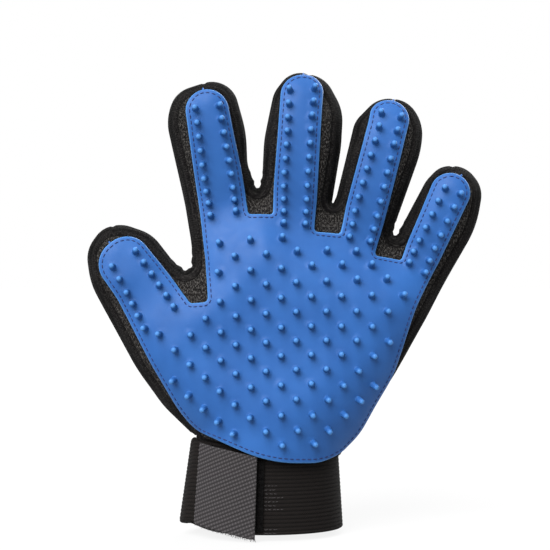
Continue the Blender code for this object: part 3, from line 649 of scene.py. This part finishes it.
def rubber_material():
    """Blue moulded rubber: satin, a fine grain, slight unevenness of colour, and a painted highlight along
    the rim and at the nub tips.
    """
    made = Shader("blue_rubber_satin", 0.45, 0.12)
    cloud = made.noise(made.object, 0.045, 3.0)
    grain = made.noise(made.object, 2.6, 2.0)
    colour = made.ramp(cloud, (0.3, (0.0125, 0.059, 0.200)), (0.7, (0.0165, 0.074, 0.238)))
    colour = made.mix(made.ramp(grain, (0.35, 0.0), (0.75, 0.10)), colour, (0.040, 0.125, 0.31))
    # painted highlight along the pad's rim and on the nub tips
    made.put("Base Color", made.mix(made.relief(), colour, (0.062, 0.200, 0.46)))
    made.put("Roughness", made.ramp(made.noise(made.object, 0.3, 4.0), (0.3, 0.42), (0.7, 0.55)))
    made.bump(grain, 0.035)
    return made.material


def knit_material(name, speck, streak_highlight, dark, light):
    """Brushed black knit with lighter specks, painted highlight streaks along it, and painted shade in its
    folds and along its seams.
    """
    made = Shader(name, 0.93, 0.03, 0.01)
    stitches = made.knit(KNIT_WALE, KNIT_COURSE)
    fibres = made.noise(made.uv, 2.1, 5.0, 0.75)
    specks = made.noise(made.stretched(made.uv, 1.0, 0.55, 1.0), 1.5, 4.0, 0.7)
    fleck = made.ramp(specks, (0.48, 0.0), (0.64, speck))
    cloth = made.mix(made.ramp(stitches, (0.2, 0.0), (0.9, 1.0)), dark, light)
    worn = made.ramp(made.noise(made.uv, 0.06, 2.0), (0.42, 0.0), (0.68, 0.55))
    cloth = made.mix(worn, cloth, tuple(WORN_GAIN * part for part in light))
    # painted highlight streaks along the cloth
    highlight_streaks = made.noise(made.stretched(made.uv, 0.07, 0.8, 1.0), 1.0, 3.0, 0.7)
    cloth = made.mix(made.ramp(highlight_streaks, (0.48, 0.0), (0.72, streak_highlight)), cloth, (0.022, 0.021, 0.020))
    cloth = made.mix(fleck, cloth, (0.085, 0.080, 0.074))
    # painted shade where the relief marks seams and folds
    made.put("Base Color", made.mix(made.relief(), cloth, (0.0008, 0.0008, 0.0008)))
    made.bump(made.maths("MULTIPLY_ADD", fibres, 0.8, stitches), 0.28)
    return made.material


def mesh_material():
    """Air mesh: a hexagonal net of knitted cells over a dark ground."""
    made = Shader("black_air_mesh", 0.88, 0.06, 0.02)
    u, v = made.parts(made.uv)
    tilted = made.maths("MULTIPLY", v, math.sqrt(0.75))
    phases = [u] + [made.maths("MULTIPLY_ADD", u, sign, tilted) for sign in (0.5, -0.5)]
    first, second, third = (made.maths("COSINE", made.maths("MULTIPLY", phase, math.tau / MESH_PITCH))
                            for phase in phases)
    cells = made.maths("ADD", made.maths("ADD", first, second), third)
    net = made.ramp(made.maths("MULTIPLY_ADD", cells, -0.22, 0.67), (0.18, 0.0), (0.55, 1.0))
    yarn = made.noise(made.uv, 3.2, 3.0, 0.7)
    thread = made.ramp(yarn, (0.3, (0.006, 0.006, 0.006)), (0.8, (0.022, 0.021, 0.021)))
    made.put("Base Color", made.mix(net, (0.0018, 0.0018, 0.0018), thread))
    made.bump(made.maths("MULTIPLY_ADD", yarn, 0.25, net), 0.55)
    return made.material


def elastic_material():
    """Ribbed elastic: the ribs are shape; the braided yarn, painted shade between the ribs and painted
    highlights on a few threads are here.
    """
    made = Shader("black_ribbed_elastic", 0.85, 0.06, 0.01)
    u, v = made.parts(made.uv)
    slanted = made.maths("ADD", u, made.maths("PINGPONG", v, RIB_PITCH / 2))
    braid = made.maths("SINE", made.maths("MULTIPLY", slanted, BRAID_WAVE))
    yarn = made.noise(made.uv, 2.2, 3.0, 0.7)
    # painted shade between the ribs, lighter on their crests
    painted_rib_shading = made.ramp(made.relief(), (0.1, 0.0), (0.8, 1.0))
    colour = made.mix(painted_rib_shading, (0.0022, 0.002, 0.002), (0.0068, 0.0056, 0.0052))
    # painted highlights on a few threads
    thread_highlights = made.ramp(yarn, (0.58, 0.0), (0.72, 0.35))
    made.put("Base Color", made.mix(thread_highlights, colour, (0.018, 0.016, 0.015)))
    made.bump(made.maths("MULTIPLY_ADD", braid, 0.3, yarn), 0.16)
    return made.material


def hook_back_material():
    """Woven grey back of the hook tape, with painted shade between the twill's ridges."""
    made = Shader("grey_woven_tape", 0.8, 0.1, 0.02)
    yarn = made.noise(made.uv, 2.4, 3.0, 0.7)
    # painted shade between the twill's ridges, lighter on their tops
    colour = made.ramp(made.relief(), (0.05, (0.009, 0.008, 0.0085)), (0.4, (0.026, 0.024, 0.025)),
                       (0.95, (0.062, 0.057, 0.059)))
    made.put("Base Color", made.mix(made.ramp(yarn, (0.35, 0.4), (0.75, 0.0)), colour, (0.018, 0.016, 0.017)))
    made.bump(yarn, 0.08)
    return made.material


def thread_material(name, colour, light, roughness=0.6, specular=0.15):
    """Spun thread with a twist."""
    made = Shader(name, roughness, specular, 0.01)
    twist = made.noise(made.object, 3.0, 2.0)
    made.put("Base Color", made.mix(made.ramp(twist, (0.35, 0.0), (0.7, 1.0)), colour, light))
    made.bump(twist, 0.06)
    return made.material


# ---------------------------------------------------------------- rubber pad

def nub_centres(pad_loop):
    """Centres of all nubs: two columns on each strip and staggered rows over the palm."""
    centres = []
    for (first, last), count in STRIP_NUBS:
        for k in range(count):
            centres.append(np.array(first) + (np.array(last) - np.array(first)) * k / (count - 1))
    strips = np.array(centres)
    for row in NUB_ROWS:
        for column in NUB_COLUMNS:
            x = NUB_ORIGIN[0] + (column + 0.5 * (row % 2)) * NUB_PITCH_X
            z = NUB_ORIGIN[1] - row * NUB_PITCH_Z
            z -= NUB_DROOP * min(1.0, max(0.0, (NUB_ORIGIN[0] - x) / NUB_DROOP_SPAN)) ** NUB_DROOP_POWER
            point = np.array([(x, z)])
            clear = ring_distance(pad_loop, point)[0] > NUB_EDGE
            free = np.linalg.norm(strips - point, axis=1).min() > NUB_FREE
            if clear and free and z < NUB_PALM_TOP and inside(pad_loop, point)[0]:
                centres.append(point[0])
    return np.array(centres)


def lifted(points, height):
    """Points of the palm's face raised over the cloth."""
    return surface(points, -1) + surface_normal(points, -1) * np.asarray(height, float).reshape(-1, 1)


def add_pad(rubber):
    """The moulded pad: rounded rim, flat top and nubs, in one closed mesh."""
    rim = rounded(PAD_EDGE, True, PAD_STEP, PAD_ARC_STEP)
    rim_in = inward(rim, True)
    rings = [rim + rim_in * inset for inset, _ in PAD_SECTION]
    vertices = np.vstack([lifted(ring, height) for ring, (_, height) in zip(rings, PAD_SECTION)])
    # painted highlight along the rim and at the nub tips, kept as the mesh's relief
    painted_highlight = np.repeat(PAD_RIM_HIGHLIGHT, len(rim)).tolist()
    faces = [face[::-1] for face in grid_faces(len(rings), len(rim), True)]

    centres = nub_centres(rim)
    turn = np.arange(NUB_SIDES) * math.tau / NUB_SIDES
    circle = np.stack((np.cos(turn), np.sin(turn)), axis=1)
    bases = [centre + circle * NUB_BASE for centre in centres]
    net = lattice(rings[-1], rim, PAD_NET, PAD_RIM_CLEAR)
    from_nub = np.linalg.norm(net[:, None] - centres[None], axis=2).min(axis=1)
    net = net[from_nub > NUB_BASE + PAD_NUB_CLEAR]
    flat, top_faces, index = triangulate([rings[-1]] + bases, net, holes=range(1, len(bases) + 1))
    uneven = smooth((PAD_FLAT_INSET, PAD_EVEN_RIM), ring_distance(rim, flat))
    top = lifted(flat, PAD_TOP + PAD_UNEVENNESS * waves(flat, 3, 14, 9.0, 26.0) * uneven)
    # the triangulated top shares the last ring's points
    count = len(rim)
    number = np.arange(len(flat)) + len(vertices)
    for k in range(count):
        number[index[k]] = len(vertices) - count + k
    vertices = vertices.tolist() + top.tolist()
    painted_highlight += [0.0] * len(top)
    faces += [[int(number[v]) for v in face] for face in top_faces]

    for k, axis in enumerate(surface_normal(centres, -1, NUB_SLOPE_REACH)):
        base = [int(number[index[count + k * NUB_SIDES + j]]) for j in range(NUB_SIDES)]
        foot = np.array([vertices[b] for b in base])
        middle = foot.mean(axis=0)
        spoke = unit(foot - middle - np.outer((foot - middle) @ axis, axis))
        first = len(vertices)
        for (radius, height), highlight_level in zip(NUB_SECTION, NUB_TIP_HIGHLIGHT):
            vertices.extend((middle + spoke * radius + axis * height).tolist())
            painted_highlight += [highlight_level] * NUB_SIDES
        own = base + list(range(first, len(vertices)))
        faces += [[own[v] for v in face] for face in grid_faces(len(NUB_SECTION) + 1, NUB_SIDES, True)]
        last = own[-NUB_SIDES:]
        faces += [[last[j], last[(j + 1) % NUB_SIDES], len(vertices)] for j in range(NUB_SIDES)]
        vertices.append((middle + axis * NUB_HEIGHT).tolist())
        painted_highlight.append(NUB_TIP_HIGHLIGHT[-1])

    net = lattice(rings[0], rim, PAD_UNDER_NET, PAD_UNDER_CLEAR)
    under, under_faces, under_index = triangulate([rings[0]], net)
    number = np.arange(len(under)) + len(vertices)
    for k in range(count):
        number[under_index[k]] = k
    vertices.extend(lifted(under, PAD_SECTION[0][1]).tolist())
    painted_highlight += [0.0] * len(under)
    faces += [[int(number[v]) for v in reversed(face)] for face in under_faces]
    # the flat faces' own copies of the rings' points are dropped
    used = sorted({v for face in faces for v in face})
    compact = {v: k for k, v in enumerate(used)}
    vertices = [vertices[v] for v in used]
    faces = [[compact[v] for v in face] for face in faces]
    made = add_piece("rubber_pad_moulded", vertices, faces, rubber,
                     relief=[painted_highlight[v] for v in used], crease=None)
    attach(made, "glove")
    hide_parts("rubber_pad")
    add_nibs(rim, rim_in, rubber)
    return rim, rim_in


def add_nibs(rim, rim_in, rubber):
    """The little stubs that the mould's gates leave on the rim."""
    paths = []
    for place in NIBS:
        k = int(np.linalg.norm(rim - place, axis=1).argmin())
        first, second = lifted(np.array([rim[k] + rim_in[k] * inset for inset in NIB_INSETS]), NIB_HEIGHT)
        step = second - first
        paths.append([first, second, second + step, second + step * NIB_REACH])
    made = add_tubes("mould_nibs", paths, NIB_RADII, 10, rubber)
    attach(made, "glove")


def add_pad_stitches(rim, rim_in, thread):
    """The row of lockstitches that sink into the soft pad along its rim."""
    line = rim + rim_in * STITCH_INSET
    closed = np.vstack((line, line[:1]))
    length = path_length(closed)
    count = round(length[-1] / STITCH_PITCH)
    share, rise = np.array(STITCH_SHAPE).T
    paths = []
    for k in range(count):
        at = (length[-1] * k / count + share * STITCH_LENGTH) % length[-1]
        flat = np.stack([np.interp(at, length, closed[:, i]) for i in (0, 1)], axis=1)
        paths.append(lifted(flat, STITCH_FLOOR + rise))
    made = add_tubes("pad_stitches", paths, THREAD, 8, thread)
    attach(made, "glove")


# ---------------------------------------------------------------- shell

def wrist_height(x):
    """Height of the wrist seam."""
    return WRIST_SEAM_Z + WRIST_SEAM_SLOPE * x


def seam_loop(gap):
    """Outline of a panel: the seams to the side strips, and the wrist seam."""
    ring = EDGE + EDGE_IN * (SEAM_INSET + gap)
    # where the edge bends tightly, points that fold back or crowd together are dropped
    clear = distance_to(EDGE, ring) > SEAM_INSET + gap - 0.04
    clear[[0, 1, -2, -1]] = True
    ring = ring[clear]
    spaced = np.linalg.norm(np.diff(ring, axis=0), axis=1) > 0.35
    ring = ring[np.concatenate(([True], spaced))]
    pieces = round(np.linalg.norm(ring[0] - ring[-1]) / SEAM_STEP)
    wrist = [ring[-1] + (ring[0] - ring[-1]) * k / pieces for k in range(1, pieces)]
    return np.vstack((ring, wrist))


def wrist_gather(points):
    """Small pleats where the elastic draws the cloth in above the wrist seam."""
    above = np.clip(points[:, 1] - wrist_height(points[:, 0]), 0.0, None)
    phase = points[:, 0] * math.tau / GATHER_PITCH + GATHER_WANDER * waves(points, 5, 4, 30.0, 70.0)
    fading = np.exp(-above / GATHER_REACH) * np.clip(above / GATHER_START, 0.0, 1.0)
    return GATHER_HEIGHT * np.sin(phase) * fading


def add_panel(name, node, side, deep_pitch, material):
    """Palm or back of the shell, with a rolled-in edge at its seams and a lived-in surface."""
    loop = seam_loop(SEAM_GAP)
    nets = []
    for spacing, near, far in ((PANEL_PITCH, 0.0, PANEL_RIM), (deep_pitch, PANEL_RIM, math.inf)):
        net = lattice(loop, loop, spacing, max(near, spacing * 0.45))
        nets.append(net[ring_distance(loop, net) <= far])
    for inset in SEAM_ROWS:
        ring = EDGE[2:-2] + EDGE_IN[2:-2] * (SEAM_INSET + inset)
        nets[0] = nets[0][distance_to(ring, nets[0]) > SEAM_ROW_CLEAR]
        nets.append(ring[inside(loop, ring)])
    flat, faces, _ = triangulate([loop], np.vstack(nets))
    if side > 0:
        faces = [face[::-1] for face in faces]
    normal = surface_normal(flat, side)
    depth = ring_distance(loop, flat)
    relief = bell(SEAM_ROLL, depth)
    wave = PANEL_WAVE * waves(flat, 11 + side, 14, 9.0, 24.0)
    relief += wave * np.clip(depth / PANEL_WAVE_START, 0.0, 1.0)
    relief += wrist_gather(flat)
    outer = surface(flat, side) + normal * relief[:, None]
    inner = surface(flat, side) - normal * CLOTH
    # the relief paints shade along the seam
    made = add_cloth(name, outer, inner, flat, material, bell(SEAM_SHADE, depth), faces=faces)
    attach(made, "glove")
    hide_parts(node)


def side_strip_names():
    """The six side strips with the part of the edge that each covers."""
    tips = [0]
    for before, after in TIP_CORNERS:
        middle = (np.array(GLOVE_EDGE[before][:2]) + np.array(GLOVE_EDGE[after][:2])) / 2
        tips.append(int(np.linalg.norm(EDGE - middle, axis=1).argmin()))
    tips.append(len(EDGE) - 1)
    nodes = ["thumb_side_panel", "gusset_thumb_index", "gusset_index_middle", "gusset_middle_ring",
             "gusset_ring_little", "little_side_panel"]
    return list(zip(nodes, tips, tips[1:]))


def add_side_strip(node, first, last, number, material):
    """A strip of knit between palm and back, with soft folds along it."""
    path, path_in = EDGE[first:last + 1], EDGE_IN[first:last + 1]
    half = [SEAM_INSET * (1.0 - math.cos(math.pi / 2 * k / STRIP_ROWS)) for k in range(STRIP_ROWS + 1)]
    insets = half[::-1] + half[1:]
    outer = np.array([surface(path + path_in * inset, -1 if k <= STRIP_ROWS else 1)
                      for k, inset in enumerate(insets)])
    normal = grid_normals(outer)
    outward = normal[STRIP_ROWS, :, 0] * path_in[:, 0] + normal[STRIP_ROWS, :, 2] * path_in[:, 1]
    normal *= -np.sign(outward.mean())
    length = path_length(path)
    share = np.linspace(0.0, 1.0, len(insets))[:, None]
    along = net_of(length, STRIP_WAVE_GAP * number)
    relief, painted_fold_shade = np.zeros(outer.shape[:2]), np.zeros(outer.shape[:2])
    for k, place in enumerate(STRIP_FOLDS):
        depth = FOLD_DEPTH + FOLD_CHANGE * waves(along, 40 + 7 * number + k, 6, 14.0, 45.0)
        drift = place + FOLD_DRIFT * waves(along, 90 + 7 * number + k, 4, 30.0, 80.0)
        fold = depth * np.exp(-((share - drift) / FOLD_WIDTH) ** 2)
        relief -= fold
        # painted shade in each fold
        painted_fold_shade += np.clip(FOLD_SHADE * fold, 0.0, FOLD_SHADE_MOST)
    pleat_height, pleat_reach, pleat_pitch = WEB_PLEATS
    for corner in WEB_CORNERS:
        apart = np.linalg.norm(path - GLOVE_EDGE[corner][:2], axis=1)
        if apart.min() < WEB_NEAR:
            at = length - length[apart.argmin()]
            pleats = pleat_height * np.sin(math.tau * at / pleat_pitch + 3.0 * share)
            relief += pleats * np.exp(-(at / pleat_reach) ** 2) * np.sin(math.pi * share)
    ends = np.minimum(length, length[-1] - length)
    relief += bell(STRIP_SIDE_ROLL, np.minimum(share, 1.0 - share)) + bell(STRIP_END_ROLL, ends)
    inner = outer - normal * CLOTH
    outer = outer + normal * relief[..., None]
    width = path_length(outer[:, len(path) // 2])
    uv = net_of(length + STRIP_CLOTH_GAP * number, width[:, None])
    made = add_cloth(node + "_knit", outer, inner, uv, material, painted_fold_shade)
    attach(made, "glove")
    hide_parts(node)


# ---------------------------------------------------------------- wrist band and strap

def band_points(angle, z, offset):
    """Points offset outwards from the band's outer face, at angles in degrees and heights."""
    angle, z, offset = np.broadcast_arrays(np.radians(angle), np.asarray(z, float), np.asarray(offset, float))
    share = z / FLARE_Z
    a = RIM_A - NARROWING_A * share + offset
    b = RIM_B - NARROWING_B * share + offset
    return np.stack((BAND_SHIFT * share + a * np.cos(angle), b * np.sin(angle), z), axis=-1)


def rib(z, pitch):
    """Height from 0 to 1 of the ribs of the elastic."""
    return np.abs(np.sin(math.pi * z / pitch)) ** 0.75


def add_band(material):
    """The elastic tube with its ribs running round it."""
    angle = np.arange(BAND_COLUMNS) * 360.0 / BAND_COLUMNS
    top = wrist_height((RIM_A - NARROWING_A) * np.cos(np.radians(angle))) + BAND_LAP
    levels = round(top.max() / BAND_STEP)
    share = np.arange(levels + 1)[:, None] / levels
    ribs = rib(share * top, RIB_PITCH)
    z = mixed(bell(RIM_RISE, angle), top, share)
    hem = 1.0 - quarter_round(share * top, HEM_HEIGHT)
    outer = band_points(angle, z, -RIB_HEIGHT * (1.0 - ribs) - HEM_ROUND_OUT * hem)
    inner = band_points(angle, z, -CLOTH + HEM_ROUND_IN * hem)
    around = np.radians(angle) * math.sqrt(RIM_A * RIM_B)
    made = add_cloth("wrist_band_ribbed", outer, inner, net_of(around, z), material, ribs,
                     RIB_SHADE_INSIDE, grid_faces(levels + 1, BAND_COLUMNS, True), RIBBED_CREASE)
    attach(made, "glove")
    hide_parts("wrist_band")


def strap_edge(angle):
    """Lower and upper edge of the strap at an angle."""
    start, end = (math.cos(math.radians(a)) for a in (FOLD_ANGLE, HOOK_END))
    share = np.clip((np.cos(np.radians(np.maximum(angle, FOLD_ANGLE))) - start) / (end - start), 0.0, 1.0)
    to_fold = smooth((FOLD_ANGLE - ANCHOR_TURN, FOLD_ANGLE), angle)
    low = mixed(ANCHOR_LOW, TAB_LOW_FOLD, to_fold) + (TAB_LOW_END - TAB_LOW_FOLD) * share
    low = low - bell(ROLL_DROP, angle)
    high = mixed(ANCHOR_HIGH, TAB_HIGH_FOLD, to_fold) + (TAB_HIGH_END - TAB_HIGH_FOLD) * share
    return low, high


def arc_length(angles, z, offset):
    """Length in millimetres from the first angle along a line round the band."""
    return path_length(band_points(angles, z, offset))


def add_strap_elastic(material):
    """One strip of ribbed elastic from the sewn end round the fold to the hook tape."""
    columns, rows = STRAP_NET
    angle = np.linspace(ANCHOR_END, TAB_END, columns)
    low, high = strap_edge(angle)
    share = np.linspace(0.0, 1.0, rows)[:, None]
    z = low + (high - low) * share
    ribs = rib(z - low, RIB_PITCH)
    roll = mixed(ROLL_BOTTOM, ROLL_TOP, share) * np.exp(-((angle - ROLL_ANGLE) / ROLL_WIDTH) ** 4)
    from_edge = np.minimum(share, 1.0 - share) * (high - low)
    roll = roll * quarter_round(from_edge, ROLL_CORNER)
    body = CLOTH - STRAP_ROUND * (1.0 - quarter_round(from_edge, STRAP_EDGE))
    outer = band_points(angle, z, STRAP_OFFSET + body + roll - RIB_HEIGHT * (1.0 - ribs))
    inner = band_points(angle, z, STRAP_OFFSET + roll * ROLL_INSIDE)
    along = arc_length(angle, *STRAP_LINE)
    made = add_cloth("strap_elastic", outer, inner, net_of(along, z), material, ribs,
                     RIB_SHADE_INSIDE, crease=RIBBED_CREASE)
    fold = band_points(FOLD_ANGLE, *STRAP_LINE)
    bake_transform(made)
    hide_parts("strap_anchor", "strap_tab")


def hook_grid(columns, rows):
    """A net over the hook tape: angles, lower and upper edge, and shares across and up."""
    across, up = np.linspace(0.0, 1.0, columns), np.linspace(0.0, 1.0, rows)[:, None]
    start = mixed(HOOK_START_LOW, HOOK_START_HIGH, up)
    angle = start + (HOOK_END - start) * across
    low, high = strap_edge(angle)
    return angle, low, high, across, up


def add_hook_tape(material):
    """The woven back of the grey tape, with twilled ridges and a raw lower edge."""
    angle, low, high, across, up = hook_grid(*HOOK_NET)
    along = arc_length(angle[0], *HOOK_LINE)
    ragged = RAGGED * waves(net_of(along, 0.0), 21, 9, 1.1, 3.5)
    z = low + (high - low) * up + ragged * (1.0 - up) ** 8
    ridge = 0.5 + 0.5 * np.cos(math.tau * (z - TWILL_SLOPE * along) / TWILL_ROW)
    lump = 0.5 + 0.5 * np.cos(math.tau * (along + 0.35 * z) / TWILL_LUMP)
    weave = np.clip(0.1 + 0.9 * ridge ** 0.8 * (0.35 + 0.65 * lump), 0.0, 1.0)
    end_lift = TAPE_END_LIFT * smooth(TAPE_END_ZONE, across)
    lift = end_lift + TAPE_START_LIFT * smooth(TAPE_START_ZONE, across)
    border = np.minimum(np.minimum(across, 1.0 - across) * along[-1], np.minimum(up, 1.0 - up) * TAPE_HEIGHT)
    thin = TAPE_THIN * (1.0 - np.clip(border / TAPE_BORDER, 0.0, 1.0)) ** 2
    outer = band_points(angle, z, HOOK_OFFSET + TAPE - TAPE_SINK + TWILL_DEPTH * weave + lift - thin)
    inner = band_points(angle, z, HOOK_OFFSET + TAPE_BED + lift)
    made = add_cloth("hook_tape_woven", outer, inner, net_of(along, z), material, weave,
                     TWILL_SHADE_INSIDE, crease=RIBBED_CREASE)
    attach(made, "strap")
    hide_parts("hook_tape")


def add_hooks(hooks):
    """Rows of little hooks on the tape's inner face, which lean one way and the other in turn."""
    angle, low, high, across, up = hook_grid(*HOOKS)
    z = low + (high - low) * mixed(HOOK_MARGIN, 1.0 - HOOK_MARGIN, up)
    offset = HOOK_OFFSET + HOOK_BED + TAPE_END_LIFT * smooth(TAPE_END_ZONE, across)
    paths = []
    for i in range(z.shape[0]):
        for j in range(HOOK_FIRST, z.shape[1] - 1):
            lean = HOOK_LEAN if (i + j) % 2 else -HOOK_LEAN
            paths.append([band_points(angle[i, j] + lean * aside, z[i, j], offset[j] - depth)
                          for aside, depth in HOOK_SHAPE])
    made = add_tubes("hook_tape_hooks", paths, HOOK_THICK, 5, hooks)
    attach(made, "strap")


def add_raw_edge(hooks):
    """Loose threads along the lower edge of the hook tape, where it was cut."""
    rng = np.random.default_rng(8)
    paths = []
    angle, low, _, _, _ = hook_grid(RAW_COUNT, 2)
    for a, h in zip(angle[0], low[0]):
        length, lean = rng.uniform(0.3, 1.1), rng.uniform(-0.7, 0.7)
        depth = HOOK_OFFSET + rng.uniform(0.45, 0.95)
        paths.append([band_points(a + lean * t, h + 0.5 - (length + 0.5) * t, depth + 0.2 * t * t)
                      for t in (0.0, 0.35, 0.7, 1.0)])
    made = add_tubes("hook_tape_raw_edge", paths, RAW_THREAD, 5, hooks)
    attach(made, "strap")


def add_loop_tape(material):
    """The thin ground of the loop patch on the band."""
    columns, rows = LOOP_NET
    angle = np.linspace(LOOP_START, LOOP_END, columns)
    z = np.linspace(LOOP_LOW, LOOP_HIGH, rows)[:, None]
    along = arc_length(angle, *LOOP_LINE)
    uv = net_of(along, z)
    fuzz = LOOP_FUZZ * waves(uv.reshape(-1, 2), 31, 20, 1.6, 5.0).reshape(rows, columns)
    outer = band_points(angle, z, LOOP_GROUND + fuzz)
    inner = band_points(angle, z, LOOP_BED)
    made = add_cloth("loop_tape_ground", outer, inner, uv, material)
    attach(made, "glove")
    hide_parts("loop_tape")


def add_loop_pile(material):
    """The pile of fine loops that the hooks catch in."""
    rng = np.random.default_rng(12)
    paths = []
    for _ in range(PILE_COUNT):
        a, h = rng.uniform(LOOP_START + 0.7, LOOP_END - 0.7), rng.uniform(LOOP_LOW + 0.5, LOOP_HIGH - 0.5)
        turn, span, rise = rng.uniform(0.0, math.tau), rng.uniform(0.35, 0.75), rng.uniform(0.25, 0.5)
        path = []
        for t in np.linspace(-1.0, 1.0, 6):
            path.append(band_points(a + math.cos(turn) * span * t * 2.0, h + math.sin(turn) * span * t,
                                    PILE_FOOT + rise * (1.0 - t * t)))
        paths.append(path)
    made = add_tubes("loop_tape_pile", paths, PILE_THREAD, 4, material)
    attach(made, "glove")


def add_strap_stitches(thread):
    """Two rows of stitches that hold the strap's end to the band."""
    paths = []
    for row in STRAP_STITCH_ROWS:
        for z in np.arange(ANCHOR_LOW + 2.0, ANCHOR_HIGH - 1.5, STRAP_STITCH_PITCH):
            paths.append([band_points(ANCHOR_END + row, z + 0.9 * t,
                                      STRAP_OFFSET + CLOTH + 0.12 - 0.3 * t * t)
                          for t in (-1.0, -0.5, 0.0, 0.5, 1.0)])
    made = add_tubes("strap_stitches", paths, STRAP_THREAD, 6, thread)
    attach(made, "glove")


def add_rib_highlight_threads(thread):
    """Pale threads along the band's ribs beside the loop tape: a painted highlight where the ribs catch
    light.
    """
    rng = np.random.default_rng(4)
    paths = []
    for z in [RIB_PITCH * (k + 0.5) for k in HIGHLIGHT_RIBS]:
        angle, last = RIB_HIGHLIGHT_START + rng.uniform(0.0, 1.0), rng.uniform(*RIB_HIGHLIGHT_END)
        while angle < last:
            span = rng.uniform(1.2, 2.8)
            paths.append([band_points(angle + span * t, z + 0.12 * math.sin(5.0 * t + z),
                                      0.07 - 0.25 * (2 * t - 1) ** 4)
                          for t in (0.0, 0.15, 0.5, 0.85, 1.0)])
            angle += span + rng.uniform(0.3, 1.3)
    made = add_tubes("band_rib_highlight_threads", paths, RIB_HIGHLIGHT_THREAD, 6, thread)
    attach(made, "glove")


# ---------------------------------------------------------------- stage

def add_light(name, place, power):
    """A soft, even light from one side."""
    data = bpy.data.lights.new(name, "SUN")
    data.energy, data.angle = power, math.radians(LIGHT_WIDTH)
    made = bpy.data.objects.new(name, data)
    made.location = place
    made.rotation_euler = (Vector(LIGHT_AIM) - Vector(place)).to_track_quat("-Z", "Y").to_euler()
    bpy.context.scene.collection.objects.link(made)


def add_surround():
    """White all round but dimmer in front, where a studio has its dark side."""
    world = bpy.data.worlds.new("surround")
    world.use_nodes = True
    nodes, links = world.node_tree.nodes, world.node_tree.links
    direction, parts = nodes.new("ShaderNodeTexCoord"), nodes.new("ShaderNodeSeparateXYZ")
    share, ramp = nodes.new("ShaderNodeMapRange"), nodes.new("ShaderNodeValToRGB")
    share.inputs["From Min"].default_value = -1.0
    ramp.color_ramp.interpolation = "EASE"
    for element, (place, level) in zip(ramp.color_ramp.elements, ((0.1, FRONT_LEVEL), (0.5, 1.0))):
        element.position, element.color = place, (level, level, level, 1.0)
    links.new(direction.outputs["Generated"], parts.inputs[0])
    links.new(parts.outputs[1], share.inputs[0])
    links.new(share.outputs[0], ramp.inputs[0])
    links.new(ramp.outputs[0], nodes["Background"].inputs["Color"])
    bpy.context.scene.world = world


def add_camera():
    """The camera in the photo's place, level and square to the palm."""
    scene = bpy.context.scene
    camera = bpy.data.cameras.new("camera")
    camera.sensor_width = SENSOR
    camera.lens = SENSOR * VIEW_DISTANCE / VIEW_WIDTH
    camera.clip_end = 50.0
    made = bpy.data.objects.new("camera", camera)
    made.location = Vector((VIEW_CENTRE[0], -VIEW_DISTANCE, VIEW_CENTRE[1])) * MM
    made.rotation_euler = (math.pi / 2, 0.0, 0.0)
    scene.collection.objects.link(made)
    scene.camera = made


def add_floor():
    """A wide pale floor just under the glove."""
    floor_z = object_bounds()[0].z - FLOOR_GAP
    corners = [(x * FLOOR_REACH, y * FLOOR_REACH, floor_z) for x, y in ((-1, -1), (1, -1), (1, 1), (-1, 1))]
    mesh = bpy.data.meshes.new("floor")
    mesh.from_pydata(corners, [], [(0, 1, 2, 3)])
    paint = Shader("pale_floor", 0.9, 0.0)
    paint.put("Base Color", (FLOOR_SHADE, FLOOR_SHADE, FLOOR_SHADE))
    paint.put("Emission Color", (1.0, 1.0, 1.0))
    paint.put("Emission Strength", FLOOR_GLOW)
    mesh.materials.append(paint.material)
    floor = bpy.data.objects.new("floor", mesh)
    bpy.context.scene.collection.objects.link(floor)


# ---------------------------------------------------------------- everything

def main():
    """Build every visible piece and the stage round them."""
    rubber = rubber_material()
    palm_knit = knit_material("black_speckled_knit", 0.7, 0.0,
                              (0.002, 0.0019, 0.0018), (0.0068, 0.0063, 0.0061))
    side_knit = knit_material("black_smooth_knit", 0.2, 0.32,
                              (0.0013, 0.0012, 0.0013), (0.0042, 0.0038, 0.004))
    elastic = elastic_material()
    navy = thread_material("navy_thread", (0.007, 0.012, 0.050), (0.018, 0.030, 0.110))
    black = thread_material("black_thread", (0.003, 0.003, 0.003), (0.010, 0.010, 0.010))
    grey = thread_material("grey_monofilament", (0.022, 0.020, 0.021), (0.050, 0.047, 0.048))
    pile = thread_material("black_loop_pile", (0.0015, 0.0015, 0.0015), (0.005, 0.0047, 0.0047), 0.95, 0.03)
    add_band(elastic)
    add_panel("palm_panel_knit", "palm_panel", -1, PALM_DEEP_PITCH, palm_knit)
    add_panel("back_panel_mesh", "back_panel", 1, BACK_DEEP_PITCH, mesh_material())
    for number, (node, first, last) in enumerate(side_strip_names()):
        add_side_strip(node, first, last, number, side_knit)
    rim, rim_in = add_pad(rubber)
    add_pad_stitches(rim, rim_in, navy)
    add_strap_elastic(elastic)
    add_hook_tape(hook_back_material())
    add_hooks(grey)
    add_raw_edge(grey)
    add_loop_tape(pile)
    add_loop_pile(pile)
    add_strap_stitches(black)
    add_rib_highlight_threads(grey)
    add_camera()
    add_floor()
    add_surround()
    for name, place, power in LIGHTS:
        add_light(name, place, power)
    bpy.context.scene.view_settings.view_transform = "Standard"


main()
